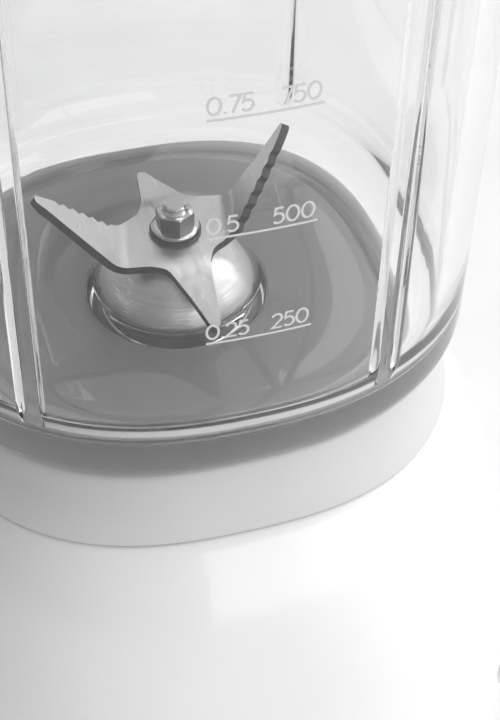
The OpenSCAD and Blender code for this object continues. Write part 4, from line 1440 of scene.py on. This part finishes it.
class FramePieces:
    """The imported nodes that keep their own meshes: each gets the finish of its slot."""

    def dress(self) -> None:
        """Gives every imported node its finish."""
        for row in frame["record"]["subparts"]:
            node = frame["nodes"][row["node"]]
            node.data.materials.clear()
            finish = NODE_FINISH.get(row["node"], SLOT_FINISH[row["material_slot"]])
            node.data.materials.append(finish.material())
            LOG.info("%s: %s", row["node"], finish.name)


# ---- studio ----------------------------------------------------------------------------


@dataclass
class Studio:
    """The floor, the soft lights, the surroundings and the camera."""

    camera_place: Triple = (-0.2773, 0.0690, 0.4486)
    camera_tilt: float = math.radians(45.93)
    camera_heading: float = math.radians(-107.37)
    camera_roll: float = math.radians(1.21)
    lens: float = 86.55
    key_power: float = 6.5
    top_power: float = 11.5
    front_power: float = 5.0

    def build_floor(self) -> None:
        """Builds the plain pale floor."""
        reach = 3.0
        mesh = bpy.data.meshes.new("floor")
        corners = [(-reach, -reach, 0), (reach, -reach, 0), (reach, reach, 0), (-reach, reach, 0)]
        mesh.from_pydata(corners, [], [(0, 1, 2, 3)])
        mesh.materials.append(PALE_FLOOR.material())
        floor = bpy.data.objects.new("floor", mesh)
        bpy.context.scene.collection.objects.link(floor)

    def build_light(self, name: str, place: Vector, size: float, power: float) -> None:
        """Builds one square soft light that faces the jug.

        Args:
            name: The light's name.
            place: Where it stands.
            size: The length of its sides.
            power: Its power in watts.
        """
        lamp = bpy.data.lights.new(name, "AREA")
        lamp.shape, lamp.size, lamp.energy = "SQUARE", size, power
        light = bpy.data.objects.new(name, lamp)
        light.location = place
        light.rotation_euler = (Vector((0, 0, 0.2)) - place).to_track_quat("-Z", "Y").to_euler()
        bpy.context.scene.collection.objects.link(light)

    def build_surroundings(self) -> None:
        """Builds a pale studio all round, darker on the +Y side and overhead."""
        world = bpy.data.worlds.new("studio")
        bpy.context.scene.world = world
        world.use_nodes = True
        world.node_tree.nodes.clear()
        graph = Graph(world.node_tree)
        parts = graph.add("SeparateXYZ", None, i0=graph.add("TexCoord").outputs["Generated"])
        side = graph.remap(parts.outputs["Y"], -0.45, 0.7, 1.0, 0.0)
        shade = graph.blend(side, (0.13, 0.13, 0.131, 1.0), (1.0, 1.0, 1.0, 1.0))
        above = graph.remap(parts.outputs["Z"], 0.35, 0.95)
        shade = graph.blend(above, shade, (0.6, 0.6, 0.6, 1.0))
        back = graph.add("Background", None, Color=shade, Strength=1.0)
        graph.feed(graph.add("OutputWorld").inputs["Surface"], back.outputs[0])
    def build_camera(self) -> None:
        """Builds the camera."""
        lens = bpy.data.cameras.new("camera")
        lens.lens, lens.sensor_width, lens.clip_start = self.lens, 36.0, 0.01
        camera = bpy.data.objects.new("camera", lens)
        turn = Matrix.Rotation(self.camera_heading, 4, "Z") @ Matrix.Rotation(self.camera_tilt, 4, "X")
        turn = turn @ Matrix.Rotation(self.camera_roll, 4, "Z")
        camera.matrix_world = Matrix.Translation(self.camera_place) @ turn
        bpy.context.scene.collection.objects.link(camera)
        bpy.context.scene.camera = camera

    def build(self) -> None:
        """Builds everything that isn't the object."""
        self.build_camera()
        self.build_floor()
        self.build_light("key_light", Vector((-0.2, -1.3, 0.8)), 1.2, self.key_power)
        self.build_light("top_light", Vector((0.35, -0.45, 1.6)), 1.4, self.top_power)
        self.build_light("front_light", Vector((-1.2, -0.55, 0.3)), 1.0, self.front_power)
        self.build_surroundings()
        bpy.context.scene.view_settings.view_transform = "Standard"


def main() -> None:
    """Builds the studio, then the object from the base up."""
    logging.basicConfig(level=logging.INFO, format="%(message)s")
    Effects.build_all()
    studio = Studio()
    studio.build()
    FramePieces().dress()
    for part in (Housing(), Knob(), Jug(), BladeUnit(), Lid(), FillerCap()):
        LOG.info("building %s", type(part).__name__)
        part.build()


if __name__ == "__main__":
    main()
